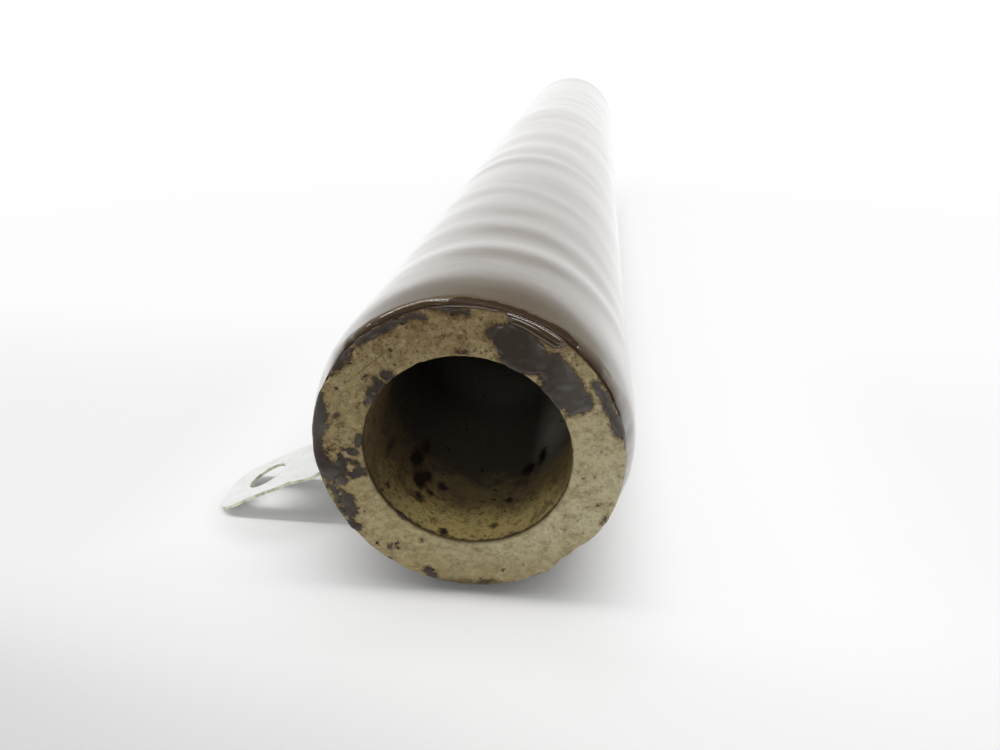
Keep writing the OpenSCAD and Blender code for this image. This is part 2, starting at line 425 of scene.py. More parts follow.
class NodeSheet:
    """Adds shader nodes to one material in short calls."""

    def __init__(self, name: str) -> None:
        """Starts a material that holds one shader.

        Args:
            name: Name of the material.
        """
        self.material = bpy.data.materials.new(name)
        self.material.use_nodes = True
        self.tree = self.material.node_tree
        self.tree.nodes.clear()
        self.shader = self.add("ShaderNodeBsdfPrincipled")
        self.output = self.add("ShaderNodeOutputMaterial")
        self.feed(self.output.inputs["Surface"], self.shader.outputs["BSDF"])

    def add(self, kind: str, **settings: object) -> bpy.types.Node:
        """Adds a node.

        Args:
            kind: Blender's name of the node type.
            settings: Properties to set on it.

        Returns:
            The node.
        """
        node = self.tree.nodes.new(kind)
        for name, value in settings.items():
            setattr(node, name, value)
        return node

    def feed(self, socket: Socket, value: Input) -> None:
        """Links a socket to another, or sets its value.

        Args:
            socket: The input to fill.
            value: Another socket, or a constant.
        """
        if isinstance(value, bpy.types.NodeSocket):
            self.tree.links.new(value, socket)
        else:
            socket.default_value = value

    def give(self, kind: str, output: str | int, inputs: dict[str | int, Input], **settings: str) -> Socket:
        """Adds a node, fills its inputs and gives one of its outputs.

        Args:
            kind: Blender's name of the node type.
            output: Name or number of the output.
            inputs: Value or socket for each input, by its name or number.
            settings: Properties to set on the node.

        Returns:
            The output.
        """
        node = self.add(kind, **settings)
        for key, value in inputs.items():
            self.feed(node.inputs[key], value)
        return node.outputs[output]

    def place(self) -> Socket:
        """Gives the place on the piece, in millimetres."""
        metres = self.give("ShaderNodeTexCoord", "Object", {})
        return self.give("ShaderNodeVectorMath", "Vector", {0: metres, "Scale": 1.0 / MM}, operation="SCALE")

    def axis(self, place: Socket, name: str) -> Socket:
        """Gives one coordinate, X, Y or Z, of a place."""
        return self.give("ShaderNodeSeparateXYZ", name, {"Vector": place})

    def stretch(self, place: Socket, factors: Sequence[float]) -> Socket:
        """Scales a place by one factor for each axis."""
        return self.give("ShaderNodeVectorMath", "Vector", {0: place, 1: factors}, operation="MULTIPLY")

    def turned(self, place: Socket, degrees: float, factors: Sequence[float]) -> Socket:
        """Turns a place about the tube's axis, then scales it.

        Args:
            place: Place in millimetres.
            degrees: Angle of the turn.
            factors: One factor for each axis.

        Returns:
            The new place.
        """
        inputs = {"Vector": place, "Angle": math.radians(degrees)}
        place = self.give("ShaderNodeVectorRotate", "Vector", inputs, rotation_type="Y_AXIS")
        return self.stretch(place, factors)

    def grain(self, place: Socket, per_mm: float, detail: float, rough: float) -> Socket:
        """Gives noise from 0 to 1, by its cells in a millimetre, finer layers and their strength."""
        inputs = {"Vector": place, "Scale": per_mm, "Detail": detail, "Roughness": rough}
        return self.give("ShaderNodeTexNoise", "Fac", inputs)

    def cells(self, place: Socket, per_mm: float) -> Socket:
        """Gives the distance to the nearest of scattered points, in cells."""
        return self.give("ShaderNodeTexVoronoi", "Distance", {"Vector": place, "Scale": per_mm})

    def stored(self, name: str) -> Socket:
        """Reads the number that a mesh stores for each vertex."""
        return self.give("ShaderNodeAttribute", "Fac", {}, attribute_name=name)

    def calc(self, operation: str, first: Input, second: Input = 0.0) -> Socket:
        """Works on one or two numbers, by Blender's name of the operation."""
        return self.give("ShaderNodeMath", "Value", {0: first, 1: second}, operation=operation)

    def plus(self, first: Input, second: Input) -> Socket:
        """Adds two numbers."""
        return self.calc("ADD", first, second)

    def minus(self, first: Input, second: Input) -> Socket:
        """Takes the second number from the first."""
        return self.calc("SUBTRACT", first, second)

    def times(self, first: Input, second: Input) -> Socket:
        """Multiplies two numbers."""
        return self.calc("MULTIPLY", first, second)

    def most(self, first: Input, second: Input) -> Socket:
        """Takes the larger of two numbers."""
        return self.calc("MAXIMUM", first, second)

    def swing(self, waves: Socket, reach: float) -> Socket:
        """Turns noise from 0 to 1 into noise about zero, with the given reach from end to end."""
        return self.times(self.minus(waves, 0.5), reach)

    def veins(self, waves: Socket, wide: float, narrow: float) -> Socket:
        """Thin winding lines where noise passes its middle, 0 outside wide and 1 inside narrow."""
        return self.rise(self.calc("ABSOLUTE", self.minus(waves, 0.5)), wide, narrow)

    def rise(self, value: Socket, low: float, high: float, start: float = 0.0, end: float = 1.0) -> Socket:
        """Eases from start to end while a value goes from low to high."""
        inputs = {"Value": value, "From Min": low, "From Max": high, "To Min": start, "To Max": end}
        return self.give("ShaderNodeMapRange", "Result", inputs, interpolation_type="SMOOTHSTEP")

    def blend(self, share: Input, first: Input, second: Input) -> Socket:
        """Mixes two colours, by the share of the second."""
        inputs = {0: share, 6: self.opaque(first), 7: self.opaque(second)}
        return self.give("ShaderNodeMix", 2, inputs, data_type="RGBA")

    def choose(self, share: Socket, first: Socket, second: Socket) -> Socket:
        """Shows the second light to the given share of rays, and the first to the others."""
        return self.give("ShaderNodeMixShader", "Shader", {"Fac": share, 1: first, 2: second})

    @staticmethod
    def opaque(colour: Input) -> Input:
        """Adds full alpha to a constant colour, and passes a socket on."""
        return colour if isinstance(colour, bpy.types.NodeSocket) else (*colour, 1.0)

    def washes(self, base: Input, *washes: Wash) -> Socket:
        """Lays colours over a base, one after another.

        Args:
            base: The first colour.
            washes: For each colour, the value that its share follows, where that value is at no share and
                at full share, the full share, and the colour.

        Returns:
            The last colour.
        """
        for value, none_at, full_at, share, colour in washes:
            base = self.blend(self.rise(value, none_at, full_at, 0.0, share), base, colour)
        return base

    def relief(
        self, height: Socket, depth: float, strength: float = 1.0, under: Socket | None = None
    ) -> Socket:
        """Turns a height into a bumped normal.

        Args:
            height: Height, from 0 to 1.
            depth: Depth of the relief in millimetres.
            strength: Strength of the bump.
            under: Normal of a coarser relief.

        Returns:
            The normal.
        """
        inputs = {"Height": height, "Distance": depth * MM, "Strength": strength}
        if under is not None:
            inputs["Normal"] = under
        return self.give("ShaderNodeBump", "Normal", inputs)

    def near_axis(self, place: Socket, clouds: Socket, clear: float, covered: float) -> Socket:
        """Share of the dark colour on a strip, 1 where it enters the tube.

        Args:
            place: Place in millimetres.
            clouds: Noise that makes the border uneven.
            clear: Distance from the axis at which the strip is clean.
            covered: Distance at which it is wholly covered.

        Returns:
            The share.
        """
        flat = self.stretch(place, (1.0, 0.0, 1.0))
        away = self.give("ShaderNodeVectorMath", "Value", {0: flat}, operation="LENGTH")
        return self.rise(self.plus(away, self.swing(clouds, 1.5)), clear, covered)

    def finish(self, **sockets: Input) -> bpy.types.Material:
        """Feeds the shader's sockets, named with underscores for spaces.

        Args:
            sockets: Value or socket for each input of the shader.

        Returns:
            The material.
        """
        for name, value in sockets.items():
            self.feed(self.shader.inputs[name.replace("_", " ")], value)
        return self.material


class SkySheet(NodeSheet):
    """Adds shader nodes to the world."""

    def __init__(self, name: str) -> None:
        """Starts an empty world.

        Args:
            name: Name of the world.
        """
        self.world = bpy.data.worlds.new(name)
        self.world.use_nodes = True
        self.tree = self.world.node_tree
        self.tree.nodes.clear()

    def glow(self, colour: Input) -> Socket:
        """Adds an even light of one colour."""
        return self.give("ShaderNodeBackground", "Background", {"Color": self.opaque(colour)})


@dataclass(frozen=True)
class BareCeramic:
    """Fired buff ceramic with pits, stains and runs of dark glaze."""

    buff: Colour = (0.500, 0.420, 0.230)
    tan: Colour = (0.345, 0.270, 0.130)
    pale: Colour = (0.560, 0.505, 0.320)
    umber: Colour = (0.180, 0.110, 0.045)
    brown: Colour = (0.130, 0.075, 0.030)
    rust: Colour = (0.050, 0.026, 0.011)
    char: Colour = (0.014, 0.011, 0.009)
    bore: Colour = (0.700, 0.550, 0.220)
    bore_shade: Colour = (0.180, 0.135, 0.065)
    soot_and_shade: Colour = (0.050, 0.046, 0.038)
    dust_and_sheen: Colour = (0.500, 0.480, 0.420)
    painted_deep_light: Colour = (0.420, 0.400, 0.350)
    bloom_and_sheen: Colour = (0.160, 0.148, 0.130)
    glaze: Colour = (0.050, 0.038, 0.028)
    dry: float = 0.9
    glassy: float = 0.24
    worn_left: float = 0.4
    sooty: float = 0.6
    scratches: tuple[Point, ...] = ((38.0, 0.45), (-62.0, 0.6))

    def face_colour(self, sheet: NodeSheet, place: Socket, speckle: Socket) -> Socket:
        """Colour of the cut end faces: mottled, scratched, and paler to the lower right.

        Args:
            sheet: The material's nodes.
            place: Place in millimetres.
            speckle: Fine noise that the whole finish shares.

        Returns:
            The colour.
        """
        clouds = sheet.grain(place, 0.5, 5.0, 0.68)
        grit = sheet.grain(place, 2.2, 5.0, 0.75)
        brushed = sheet.grain(sheet.turned(place, 5.0, (0.8, 1.0, 1.3)), 1.3, 5.0, 0.75)
        height = sheet.axis(place, "Z")
        side = sheet.plus(sheet.minus(sheet.axis(place, "X"), height), sheet.times(clouds, 10.0))
        body = sheet.washes(
            self.tan,
            (side, -13.0, 12.0, 1.0, self.buff),
            (side, 6.0, 22.0, 1.0, self.pale),
            (clouds, 0.45, 0.66, 0.6, self.tan),
            (height, -7.0, -14.0, 0.8, self.tan),
        )
        stained = sheet.times(sheet.rise(height, 8.0, 12.5), sheet.rise(clouds, 0.35, 0.6, 0.2, 0.7))
        body = sheet.washes(
            sheet.blend(stained, body, self.umber),
            (brushed, 0.46, 0.66, 0.4, self.brown),
            (brushed, 0.46, 0.3, 0.5, self.pale),
        )
        dark = sheet.rise(side, 8.0, -10.0, 0.0, 0.8)
        cloudy = sheet.rise(clouds, 0.45, 0.6)
        for degrees, per_mm in self.scratches:
            wave = sheet.grain(sheet.turned(place, degrees, (0.1, 1.0, 1.3)), per_mm, 2.0, 0.5)
            line = sheet.times(sheet.veins(wave, 0.014, 0.005), dark)
            body = sheet.blend(sheet.times(line, cloudy), body, self.brown)
        dense = sheet.most(sheet.rise(side, 16.0, -10.0, 0.2, 0.8), sheet.rise(height, 6.0, 11.0))
        body = sheet.blend(sheet.times(sheet.rise(grit, 0.53, 0.68), dense), body, self.rust)
        body = sheet.washes(body, (speckle, 0.5, 0.72, 0.4, self.brown))
        peppered = sheet.times(sheet.rise(grit, 0.48, 0.6), sheet.rise(height, 7.5, 11.0, 0.0, 0.55))
        body = sheet.blend(peppered, body, self.brown)
        rim = sheet.plus(height, sheet.times(speckle, 1.6))
        return sheet.washes(body, (rim, -12.7, -13.5, 0.7, self.rust))

    def bore_colour(self, sheet: NodeSheet, place: Socket, speckle: Socket, depth: Socket) -> Socket:
        """Colour of the bore: olive along the bottom of its mouth, with painted shade and soot further in.

        Args:
            sheet: The material's nodes.
            place: Place in millimetres.
            speckle: Fine noise that the whole finish shares.
            depth: Depth in the bore, in millimetres.

        Returns:
            The colour.
        """
        clouds = sheet.grain(place, 0.3, 5.0, 0.7)
        grit = sheet.grain(place, 1.5, 4.0, 0.7)
        curl = sheet.veins(sheet.grain(place, 0.5, 2.0, 0.5), 0.016, 0.006)
        left = sheet.axis(place, "X")
        uneven = sheet.plus(sheet.swing(clouds, 11.0), sheet.swing(grit, 4.0))
        reach = sheet.plus(depth, uneven)
        height = sheet.plus(sheet.axis(place, "Z"), uneven)
        # Painted shade: darker a few millimetres in and up the walls, where less light reaches
        bore_shaded = sheet.most(sheet.rise(reach, 3.2, 7.5), sheet.rise(height, -7.5, -3.0, 0.0, 0.9))
        inner = sheet.washes(self.bore, (speckle, 0.5, 0.72, 0.6, self.brown))
        inner = sheet.washes(
            sheet.blend(sheet.times(bore_shaded, 0.85), inner, self.bore_shade),
            (grit, 0.52, 0.7, 0.7, self.brown),
            (clouds, 0.52, 0.68, 0.6, self.umber),
            (left, -3.5, -8.5, 0.5, self.rust),
        )
        curled = sheet.times(curl, sheet.rise(left, -1.0, -6.0, 0.0, 0.7))
        border = sheet.calc("ABSOLUTE", sheet.minus(reach, 12.5))
        inner = sheet.washes(
            sheet.blend(curled, inner, self.rust),
            # Soot and painted shade: darker still further into the bore
            (reach, 7.0, 14.5, 0.9, self.soot_and_shade),
            # Painted light: paler again deepest in the bore
            (depth, 26.0, 44.0, 1.0, self.painted_deep_light),
            (border, 1.6, 0.2, 0.3, self.rust),
        )
        # Painted sheen: paler grey on the right wall, deeper in
        sheened = sheet.times(sheet.rise(left, 4.5, 7.5, 0.0, 0.85), sheet.rise(depth, 8.0, 20.0))
        mouth = sheet.plus(depth, sheet.swing(grit, 1.6))
        return sheet.washes(sheet.blend(sheened, inner, self.dust_and_sheen), (mouth, 0.95, 0.6, 0.85, self.rust))

    def glaze_reach(self, sheet: NodeSheet, speckle: Socket, splash: Socket, leftness: Socket) -> Socket:
        """How far each place lies inside the dark glaze, raggedly, with flecks of its own on the left.

        Args:
            sheet: The material's nodes.
            speckle: Fine noise that the whole finish shares.
            splash: Coarser noise.
            leftness: Share of the worn left side.

        Returns:
            The reach, in about millimetres.
        """
        ragged = sheet.plus(sheet.swing(speckle, 0.9), sheet.times(sheet.swing(splash, 2.4), leftness))
        reach = sheet.plus(sheet.stored("glaze"), ragged)
        flecks = sheet.times(sheet.minus(splash, 0.66), 4.0)
        calm = sheet.minus(0.25, sheet.times(leftness, 0.25))
        return sheet.most(reach, sheet.minus(flecks, calm))

    def paint(self) -> bpy.types.Material:
        """Makes the material.

        Returns:
            The material.
        """
        sheet = NodeSheet("bare_ceramic")
        place = sheet.place()
        across = sheet.axis(place, "X")
        speckle = sheet.grain(place, 3.2, 4.0, 0.65)
        splash = sheet.grain(place, 0.95, 4.0, 0.6)
        depth = sheet.stored("depth")
        leftness = sheet.rise(across, -6.0, -10.5, 0.12, 1.0)
        reach = self.glaze_reach(sheet, speckle, splash, leftness)
        inside = sheet.rise(depth, 0.3, 1.0)
        soft = sheet.times(sheet.rise(reach, -0.2, 0.25, 0.0, 0.92), inside)
        sharp = sheet.times(sheet.rise(reach, -0.05, 0.08), sheet.minus(1.0, inside))
        covered = sheet.plus(sharp, soft)
        body = self.face_colour(sheet, place, speckle)
        body = sheet.blend(sheet.rise(depth, 0.1, 0.5), body, self.bore_colour(sheet, place, speckle, depth))
        body = sheet.washes(body, (reach, -0.45, 0.0, 0.6, self.brown))
        glaze = sheet.washes(self.glaze, (reach, 0.4, 0.05, 0.5, self.rust))
        # The glaze clouds over at random, and a painted sheen turns it grey towards the right
        milky = sheet.rise(sheet.grain(place, 0.16, 2.0, 0.5), 0.42, 0.62, 0.0, 0.4)
        glaze_sheen = sheet.rise(across, 6.5, 9.5, 0.0, 0.35)
        glaze = sheet.blend(sheet.most(milky, glaze_sheen), glaze, self.bloom_and_sheen)
        body = sheet.blend(covered, body, sheet.blend(inside, glaze, self.char))
        rough = sheet.rise(reach, -0.05, 0.2, self.dry, self.glassy)
        rough = sheet.most(rough, sheet.times(leftness, self.worn_left))
        rough = sheet.most(rough, sheet.times(inside, self.sooty))
        swell = sheet.times(sheet.grain(place, 0.3, 2.0, 0.4), covered)
        grains = sheet.times(sheet.minus(speckle, sheet.rise(splash, 0.6, 0.7)), sheet.minus(1.0, covered))
        skin = sheet.relief(grains, 0.1, 0.8, sheet.relief(swell, 1.6))
        return sheet.finish(Base_Color=body, Roughness=rough, IOR=1.4, Normal=skin)


@dataclass(frozen=True)
class VitreousEnamel:
    """Dark brown glass, warmer where it thins out at the ends."""

    thick: Colour = (0.085, 0.052, 0.012)
    cloudy: Colour = (0.100, 0.065, 0.022)
    thin: Colour = (0.050, 0.026, 0.009)
    name: str = "vitreous_enamel"
    smooth: float = 0.07
    dull: float = 0.16
    coat: float = 1.0
    specular: float = 0.5

    def paint(self) -> bpy.types.Material:
        """Makes the material.

        Returns:
            The material.
        """
        sheet = NodeSheet(self.name)
        place = sheet.place()
        clouds = sheet.grain(place, 0.12, 4.0, 0.55)
        peel = sheet.grain(place, 0.55, 2.0, 0.4)
        dust_and_sheen = sheet.grain(place, 5.0, 2.0, 0.6)
        glass = sheet.washes(
            self.thick,
            (clouds, 0.35, 0.7, 1.0, self.cloudy),
            (sheet.stored("cover"), 0.95, 0.55, 0.9, self.thin),
            (dust_and_sheen, 0.7, 0.8, 0.5, self.cloudy),
        )
        specks = sheet.rise(sheet.cells(place, 0.22), 0.075, 0.035)
        rough = sheet.rise(clouds, 0.3, 0.75, self.smooth, self.dull)
        skin = sheet.relief(sheet.minus(peel, specks), 0.02, 0.6)
        return sheet.finish(
            Base_Color=glass, Roughness=rough, IOR=1.5, Specular_IOR_Level=self.specular, Normal=skin,
            Coat_Weight=self.coat, Coat_IOR=1.5, Coat_Roughness=0.1, Coat_Normal=skin,
        )


ROLLED_ENAMEL = VitreousEnamel(*[(0.042, 0.023, 0.010)] * 3, "rolled_enamel", 0.25, 0.35, 0.0, 0.12)


@dataclass(frozen=True)
class TinnedStrip:
    """Hot-tinned strip that has gone dull, with faint drawn lines."""

    bright: Colour = (0.98, 0.985, 0.975)
    dull: Colour = (0.86, 0.88, 0.83)
    stain: Colour = (0.60, 0.62, 0.50)
    root_dark: Colour = (0.05, 0.035, 0.02)
    clear: float = 16.9
    covered: float = 15.6

    def paint(self) -> bpy.types.Material:
        """Makes the material.

        Returns:
            The material.
        """
        sheet = NodeSheet("tinned_strip")
        place = sheet.place()
        clouds = sheet.grain(place, 0.5, 5.0, 0.6)
        lines = sheet.grain(sheet.stretch(place, (0.5, 6.0, 0.5)), 1.0, 4.0, 0.6)
        grit = sheet.grain(place, 2.2, 4.0, 0.6)
        tin = sheet.washes(self.bright, (clouds, 0.4, 0.75, 1.0, self.dull))
        tin = sheet.washes(tin, (grit, 0.6, 0.75, 0.5, self.stain))
        # Darker near the tube, where the strip enters it
        tin = sheet.blend(sheet.near_axis(place, clouds, self.clear, self.covered), tin, self.root_dark)
        rough = sheet.rise(clouds, 0.3, 0.7, 0.42, 0.6)
        skin = sheet.relief(lines, 0.01, 0.3)
        return sheet.finish(Base_Color=tin, Metallic=0.1, Roughness=rough, Normal=skin)


@dataclass(frozen=True)
class CutEdge:
    """Sheared edge of the strip, tarnished to a dull olive."""

    olive: Colour = (0.80, 0.84, 0.66)
    brown: Colour = (0.46, 0.48, 0.34)
    root_dark: Colour = (0.03, 0.025, 0.012)
    clear: float = 21.0
    covered: float = 17.6

    def paint(self) -> bpy.types.Material:
        """Makes the material.

        Returns:
            The material.
        """
        sheet = NodeSheet("cut_edge")
        place = sheet.place()
        clouds = sheet.grain(place, 1.1, 4.0, 0.6)
        metal = sheet.washes(self.olive, (clouds, 0.42, 0.68, 1.0, self.brown))
        # Darker near the tube, where the strip enters it
        metal = sheet.blend(sheet.near_axis(place, clouds, self.clear, self.covered), metal, self.root_dark)
        rough = sheet.rise(clouds, 0.3, 0.7, 0.45, 0.7)
        skin = sheet.relief(clouds, 0.03, 0.6)
        return sheet.finish(Base_Color=metal, Metallic=0.6, Roughness=rough, Normal=skin)


@dataclass(frozen=True)
class MottledMetal:
    """Bare metal under patches of a second colour, such as oxide or scorch."""

    name: str
    metal: Colour
    patches: Colour
    per_mm: float
    detail: float
    spread: Point
    rough: Point
    depth: float

    def paint(self) -> bpy.types.Material:
        """Makes the material.

        Returns:
            The material.
        """
        sheet = NodeSheet(self.name)
        clouds = sheet.grain(sheet.place(), self.per_mm, self.detail, 0.6)
        colour = sheet.washes(self.metal, (clouds, *self.spread, 1.0, self.patches))
        rough = sheet.rise(clouds, 0.3, 0.7, *self.rough)
        skin = sheet.relief(clouds, self.depth)
        return sheet.finish(Base_Color=colour, Metallic=1.0, Roughness=rough, Normal=skin)


OXIDISED_WIRE = MottledMetal(
    "oxidised_wire", (0.42, 0.39, 0.34), (0.12, 0.12, 0.10), 0.9, 4.0, (0.35, 0.65), (0.3, 0.6), 0.01
)
BRAZED_BRASS = MottledMetal(
    "brazed_bead", (0.52, 0.34, 0.12), (0.10, 0.06, 0.03), 1.4, 5.0, (0.4, 0.65), (0.35, 0.7), 0.05
)


# ---- Pieces ---------------------------------------------------------------


@dataclass(frozen=True)
class Tube:
    """Sizes of the tube that all its pieces share, read from the frame."""

    core_r: float
    bore_r: float
    length: float
    floor: float

    @classmethod
    def from_frame(cls, record: dict) -> "Tube":
        """Reads the sizes.

        Args:
            record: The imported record.

        Returns:
            The sizes, in millimetres.
        """
        low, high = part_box("ceramic_core")
        return cls(
            core_r=(high.x - low.x) / 2 / MM,
            bore_r=mount_radius(record, "core_bore"),
            length=(high.y - low.y) / MM,
            floor=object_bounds()[0][2] / MM,
        )

    def along(self, s: np.ndarray | float) -> np.ndarray | float:
        """Turns a place measured from the front end into a Y coordinate."""
        return s - self.length / 2


@dataclass
class CeramicCore:
    """The ceramic tube, with worn rims, pits and glaze on its end faces."""

    tube: Tube
    around: int = 480
    face_rows: int = 36
    corner_rows: int = 4
    bore_edge: float = 0.25
    rim_edge: float = 0.3
    bore_step: float = 0.3
    front_growth: float = 1.03
    rear_growth: float = 1.08
    wall_step: float = 0.5
    wall_growth: float = 1.9
    glaze_height: float = 0.13
    glaze_sway: float = 0.22
    pit_count: int = 110
    grit_height: float = 0.035
    face_zone: float = 2.0
    spotted_depth: float = 20.0
    worn_zone: float = 2.2
    rear_wear: float = 0.3
    rear_turn: float = 97.0
    rear_spot_turn: float = 130.0
    rim_losses: tuple[Point, ...] = (
        (-180.0, -0.3), (-155.0, -0.25), (-135.0, -0.05), (-100.0, 0.0), (60.0, 0.0), (85.0, -0.12),
        (118.0, -0.2), (125.0, -0.12), (131.0, 0.2), (141.0, 0.22), (148.0, -0.25), (160.0, -0.3),
        (180.0, -0.3),
    )

    def profile(self, end: End) -> np.ndarray:
        """Outline of half the tube, from the middle of the bore over one end to the middle of the wall.

        Args:
            end: The end that this half holds.

        Returns:
            Rows of radius, distance from the end face, and the two parts of the outward normal.
        """
        bore_r, core_r, half = self.tube.bore_r, self.tube.core_r, self.tube.length / 2
        growth = self.front_growth if end is End.FRONT else self.rear_growth
        rows = [(bore_r, s, -1.0, 0.0) for s in graded(self.bore_edge, half, self.bore_step, growth)[::-1]]
        turns = [math.radians(90 * k / self.corner_rows) for k in range(self.corner_rows + 1)]
        for turn in turns[1:]:
            out, ahead = math.cos(turn), math.sin(turn)
            rows.append((bore_r + self.bore_edge * (1 - out), self.bore_edge * (1 - ahead), -out, -ahead))
        face = np.linspace(bore_r + self.bore_edge, core_r - self.rim_edge, self.face_rows)
        rows += [(r, 0.0, 0.0, -1.0) for r in face[1:-1]]
        for turn in turns:
            out, ahead = math.sin(turn), math.cos(turn)
            rows.append((core_r - self.rim_edge * (1 - out), self.rim_edge * (1 - ahead), out, -ahead))
        wall = graded(self.rim_edge, half, self.wall_step, self.wall_growth)
        rows += [(core_r, s, 1.0, 0.0) for s in wall[1:]]
        return np.array(rows)

    def rim_loss(self, end: End, angle: np.ndarray) -> np.ndarray:
        """Depth lost from a rim, less than nothing where it stands proud.

        Args:
            end: The end that the rim belongs to.
            angle: Degrees from the top, to the right as positive.

        Returns:
            The depth at each angle, in millimetres.
        """
        turns, losses = zip(*self.rim_losses)
        if end is End.FRONT:
            loss = np.interp(angle_gap(angle, 0.0), turns, losses)
        else:
            loss = self.rear_wear * np.interp(angle_gap(angle + self.rear_turn, 0.0), turns, losses)
        return loss + 0.05 * ripple(rim_places(angle, 0.0), 0.8, 3, end.value)

    def rear_glaze(self) -> tuple[Stroke, ...]:
        """Glaze on the rear face: a few runs in from the rim, and splashes.

        Returns:
            The marks.
        """
        draw = np.random.default_rng(11)
        marks = []
        for _ in range(16):
            turn = draw.uniform(0.0, 2.0 * math.pi)
            start = self.tube.core_r - draw.uniform(-0.3, 0.6)
            end = start - draw.uniform(0.0, 1.4)
            swing = turn + draw.uniform(-0.25, 0.25)
            line = tuple((r * math.sin(a), r * math.cos(a)) for r, a in ((start, turn), (end, swing)))
            marks.append(Stroke(draw.uniform(0.2, 0.6), line))
        for _ in range(14):
            turn, r = draw.uniform(0.0, 2.0 * math.pi), draw.uniform(10.2, 13.6)
            marks.append(Stroke(draw.uniform(0.12, 0.35), ((r * math.sin(turn), r * math.cos(turn)),)))
        return tuple(marks)

    def pits(self, places: np.ndarray, seed: int) -> np.ndarray:
        """Depth of small pits in an end face.

        Args:
            places: X and Z of each vertex.
            seed: Seed of the pits' places.

        Returns:
            The depth at each vertex, in millimetres.
        """
        draw = np.random.default_rng(seed)
        depth = np.zeros(len(places))
        for _ in range(self.pit_count):
            turn, r = draw.uniform(0.0, 2.0 * math.pi), draw.uniform(self.tube.bore_r, self.tube.core_r)
            size, sink = draw.uniform(0.12, 0.4), draw.uniform(0.05, 0.16)
            gap = np.hypot(places[:, 0] - r * math.sin(turn), places[:, 1] - r * math.cos(turn))
            depth = np.maximum(depth, sink * (1.0 - ease(gap, 0.3 * size, size)))
        return depth

    def glaze_over(
        self, end: End, flat: np.ndarray, s: np.ndarray, out: np.ndarray, spots: np.ndarray
    ) -> np.ndarray:
        """How far each point lies inside glaze: smears on the face, spots in the bore, all of the wall.

        Args:
            end: The end that the points belong to.
            flat: X and Z of each point.
            s: Distance of each point from the end face.
            out: Outward part of each point's normal.
            spots: Places that the noise is read at.

        Returns:
            One number for each point, negative outside.
        """
        near = self.on_face(s, out)
        warp = np.stack([self.glaze_sway * ripple(spots[near], 0.9, 3, seed) for seed in (3.7, 71.3)], axis=1)
        marks = FRONT_GLAZE if end is End.FRONT else self.rear_glaze()
        glaze = np.full(len(flat), OUTSIDE)
        glaze[near] = deepest(marks, flat[near] + warp) - 0.5 * s[near] * (out[near] < 0)
        bore = (out < -0.5) & (s < self.spotted_depth)
        angle = np.degrees(np.arctan2(flat[bore, 0], flat[bore, 1]))
        glaze[bore] = np.maximum(glaze[bore], self.bore_reach(end, angle, s[bore], spots[bore]))
        glaze[out > 0.99] = 1.0
        return glaze

    def on_face(self, s: np.ndarray, out: np.ndarray) -> np.ndarray:
        """Which points lie on or close to an end face, and not on the wall."""
        return (s < self.face_zone) & (out < 0.99)

    def face_lift(self, end: End, flat: np.ndarray, spots: np.ndarray, glaze: np.ndarray) -> np.ndarray:
        """Height of glaze and grit on an end face, less the pits in it.

        Args:
            end: The end that the face belongs to.
            flat: X and Z of each point on the face.
            spots: Places that the noise is read at.
            glaze: How far each point lies inside glaze.

        Returns:
            The height at each point, in millimetres.
        """
        rough = self.grit_height * ripple(spots, 1.1, 4, 12.0) - self.pits(flat, 5 + end.value)
        bare = 1.0 - ease(glaze, -0.05, 0.25)
        return rough * bare + self.glaze_height * ease(glaze, -0.1, 0.5)

    def end_half(self, end: End) -> tuple[np.ndarray, np.ndarray, np.ndarray]:
        """Rings of one half of the tube.

        Args:
            end: The end that this half holds.

        Returns:
            The points of the rings, and each point's reach into glaze and depth in the bore.
        """
        turn = np.linspace(0.0, 2.0 * math.pi, self.around, endpoint=False)
        columns = self.profile(end).T[:, :, None]
        radius, s, out, ahead = np.repeat(columns, self.around, axis=2)
        flat = np.stack([radius * np.sin(turn), radius * np.cos(turn)], axis=-1).reshape(-1, 2)
        spots = np.column_stack([flat, s.ravel() * 3.0 + 40.0 * end.value])
        glaze = self.glaze_over(end, flat, s.ravel(), out.ravel(), spots)
        near = self.on_face(s, out).ravel()
        lift = np.zeros(len(flat))
        lift[near] = self.face_lift(end, flat[near], spots[near], glaze[near])
        lift = lift.reshape(radius.shape)
        worn = ease(radius, self.tube.core_r - self.worn_zone, self.tube.core_r)
        worn = worn * (1.0 - ease(s, self.rim_edge, self.worn_zone))
        radius = radius + out * lift - self.rim_loss(end, np.degrees(turn)) * worn
        y = -end.value * self.tube.along(s + ahead * lift)
        points = np.stack([radius * np.sin(turn), y, radius * np.cos(turn)], axis=-1)
        return points, glaze.reshape(radius.shape), np.where(out < -0.5, s, 0.0)

    def bore_reach(self, end: End, angle: np.ndarray, s: np.ndarray, spots: np.ndarray) -> np.ndarray:
        """How far each place in the bore lies inside a dark spot.

        Args:
            end: The end that the places are measured from.
            angle: Degrees from the top.
            s: Depth from the end face.
            spots: Places that the noise is read at.

        Returns:
            One number for each place, negative outside.
        """
        reach = np.full(len(s), OUTSIDE)
        edge = 0.5 * ripple(spots * np.array([1.0, 1.0, 0.4]), 0.9, 3, 9.0)
        turned = 0.0 if end is End.FRONT else self.rear_spot_turn
        for centre, depth, half_length, half_width in BORE_SPOTS:
            across = np.radians(angle_gap(angle, centre + turned)) * self.tube.bore_r / half_width
            along = (s - depth) / half_length
            reach = np.maximum(reach, (1.0 - np.hypot(across, along) + edge) * half_width)
        return reach

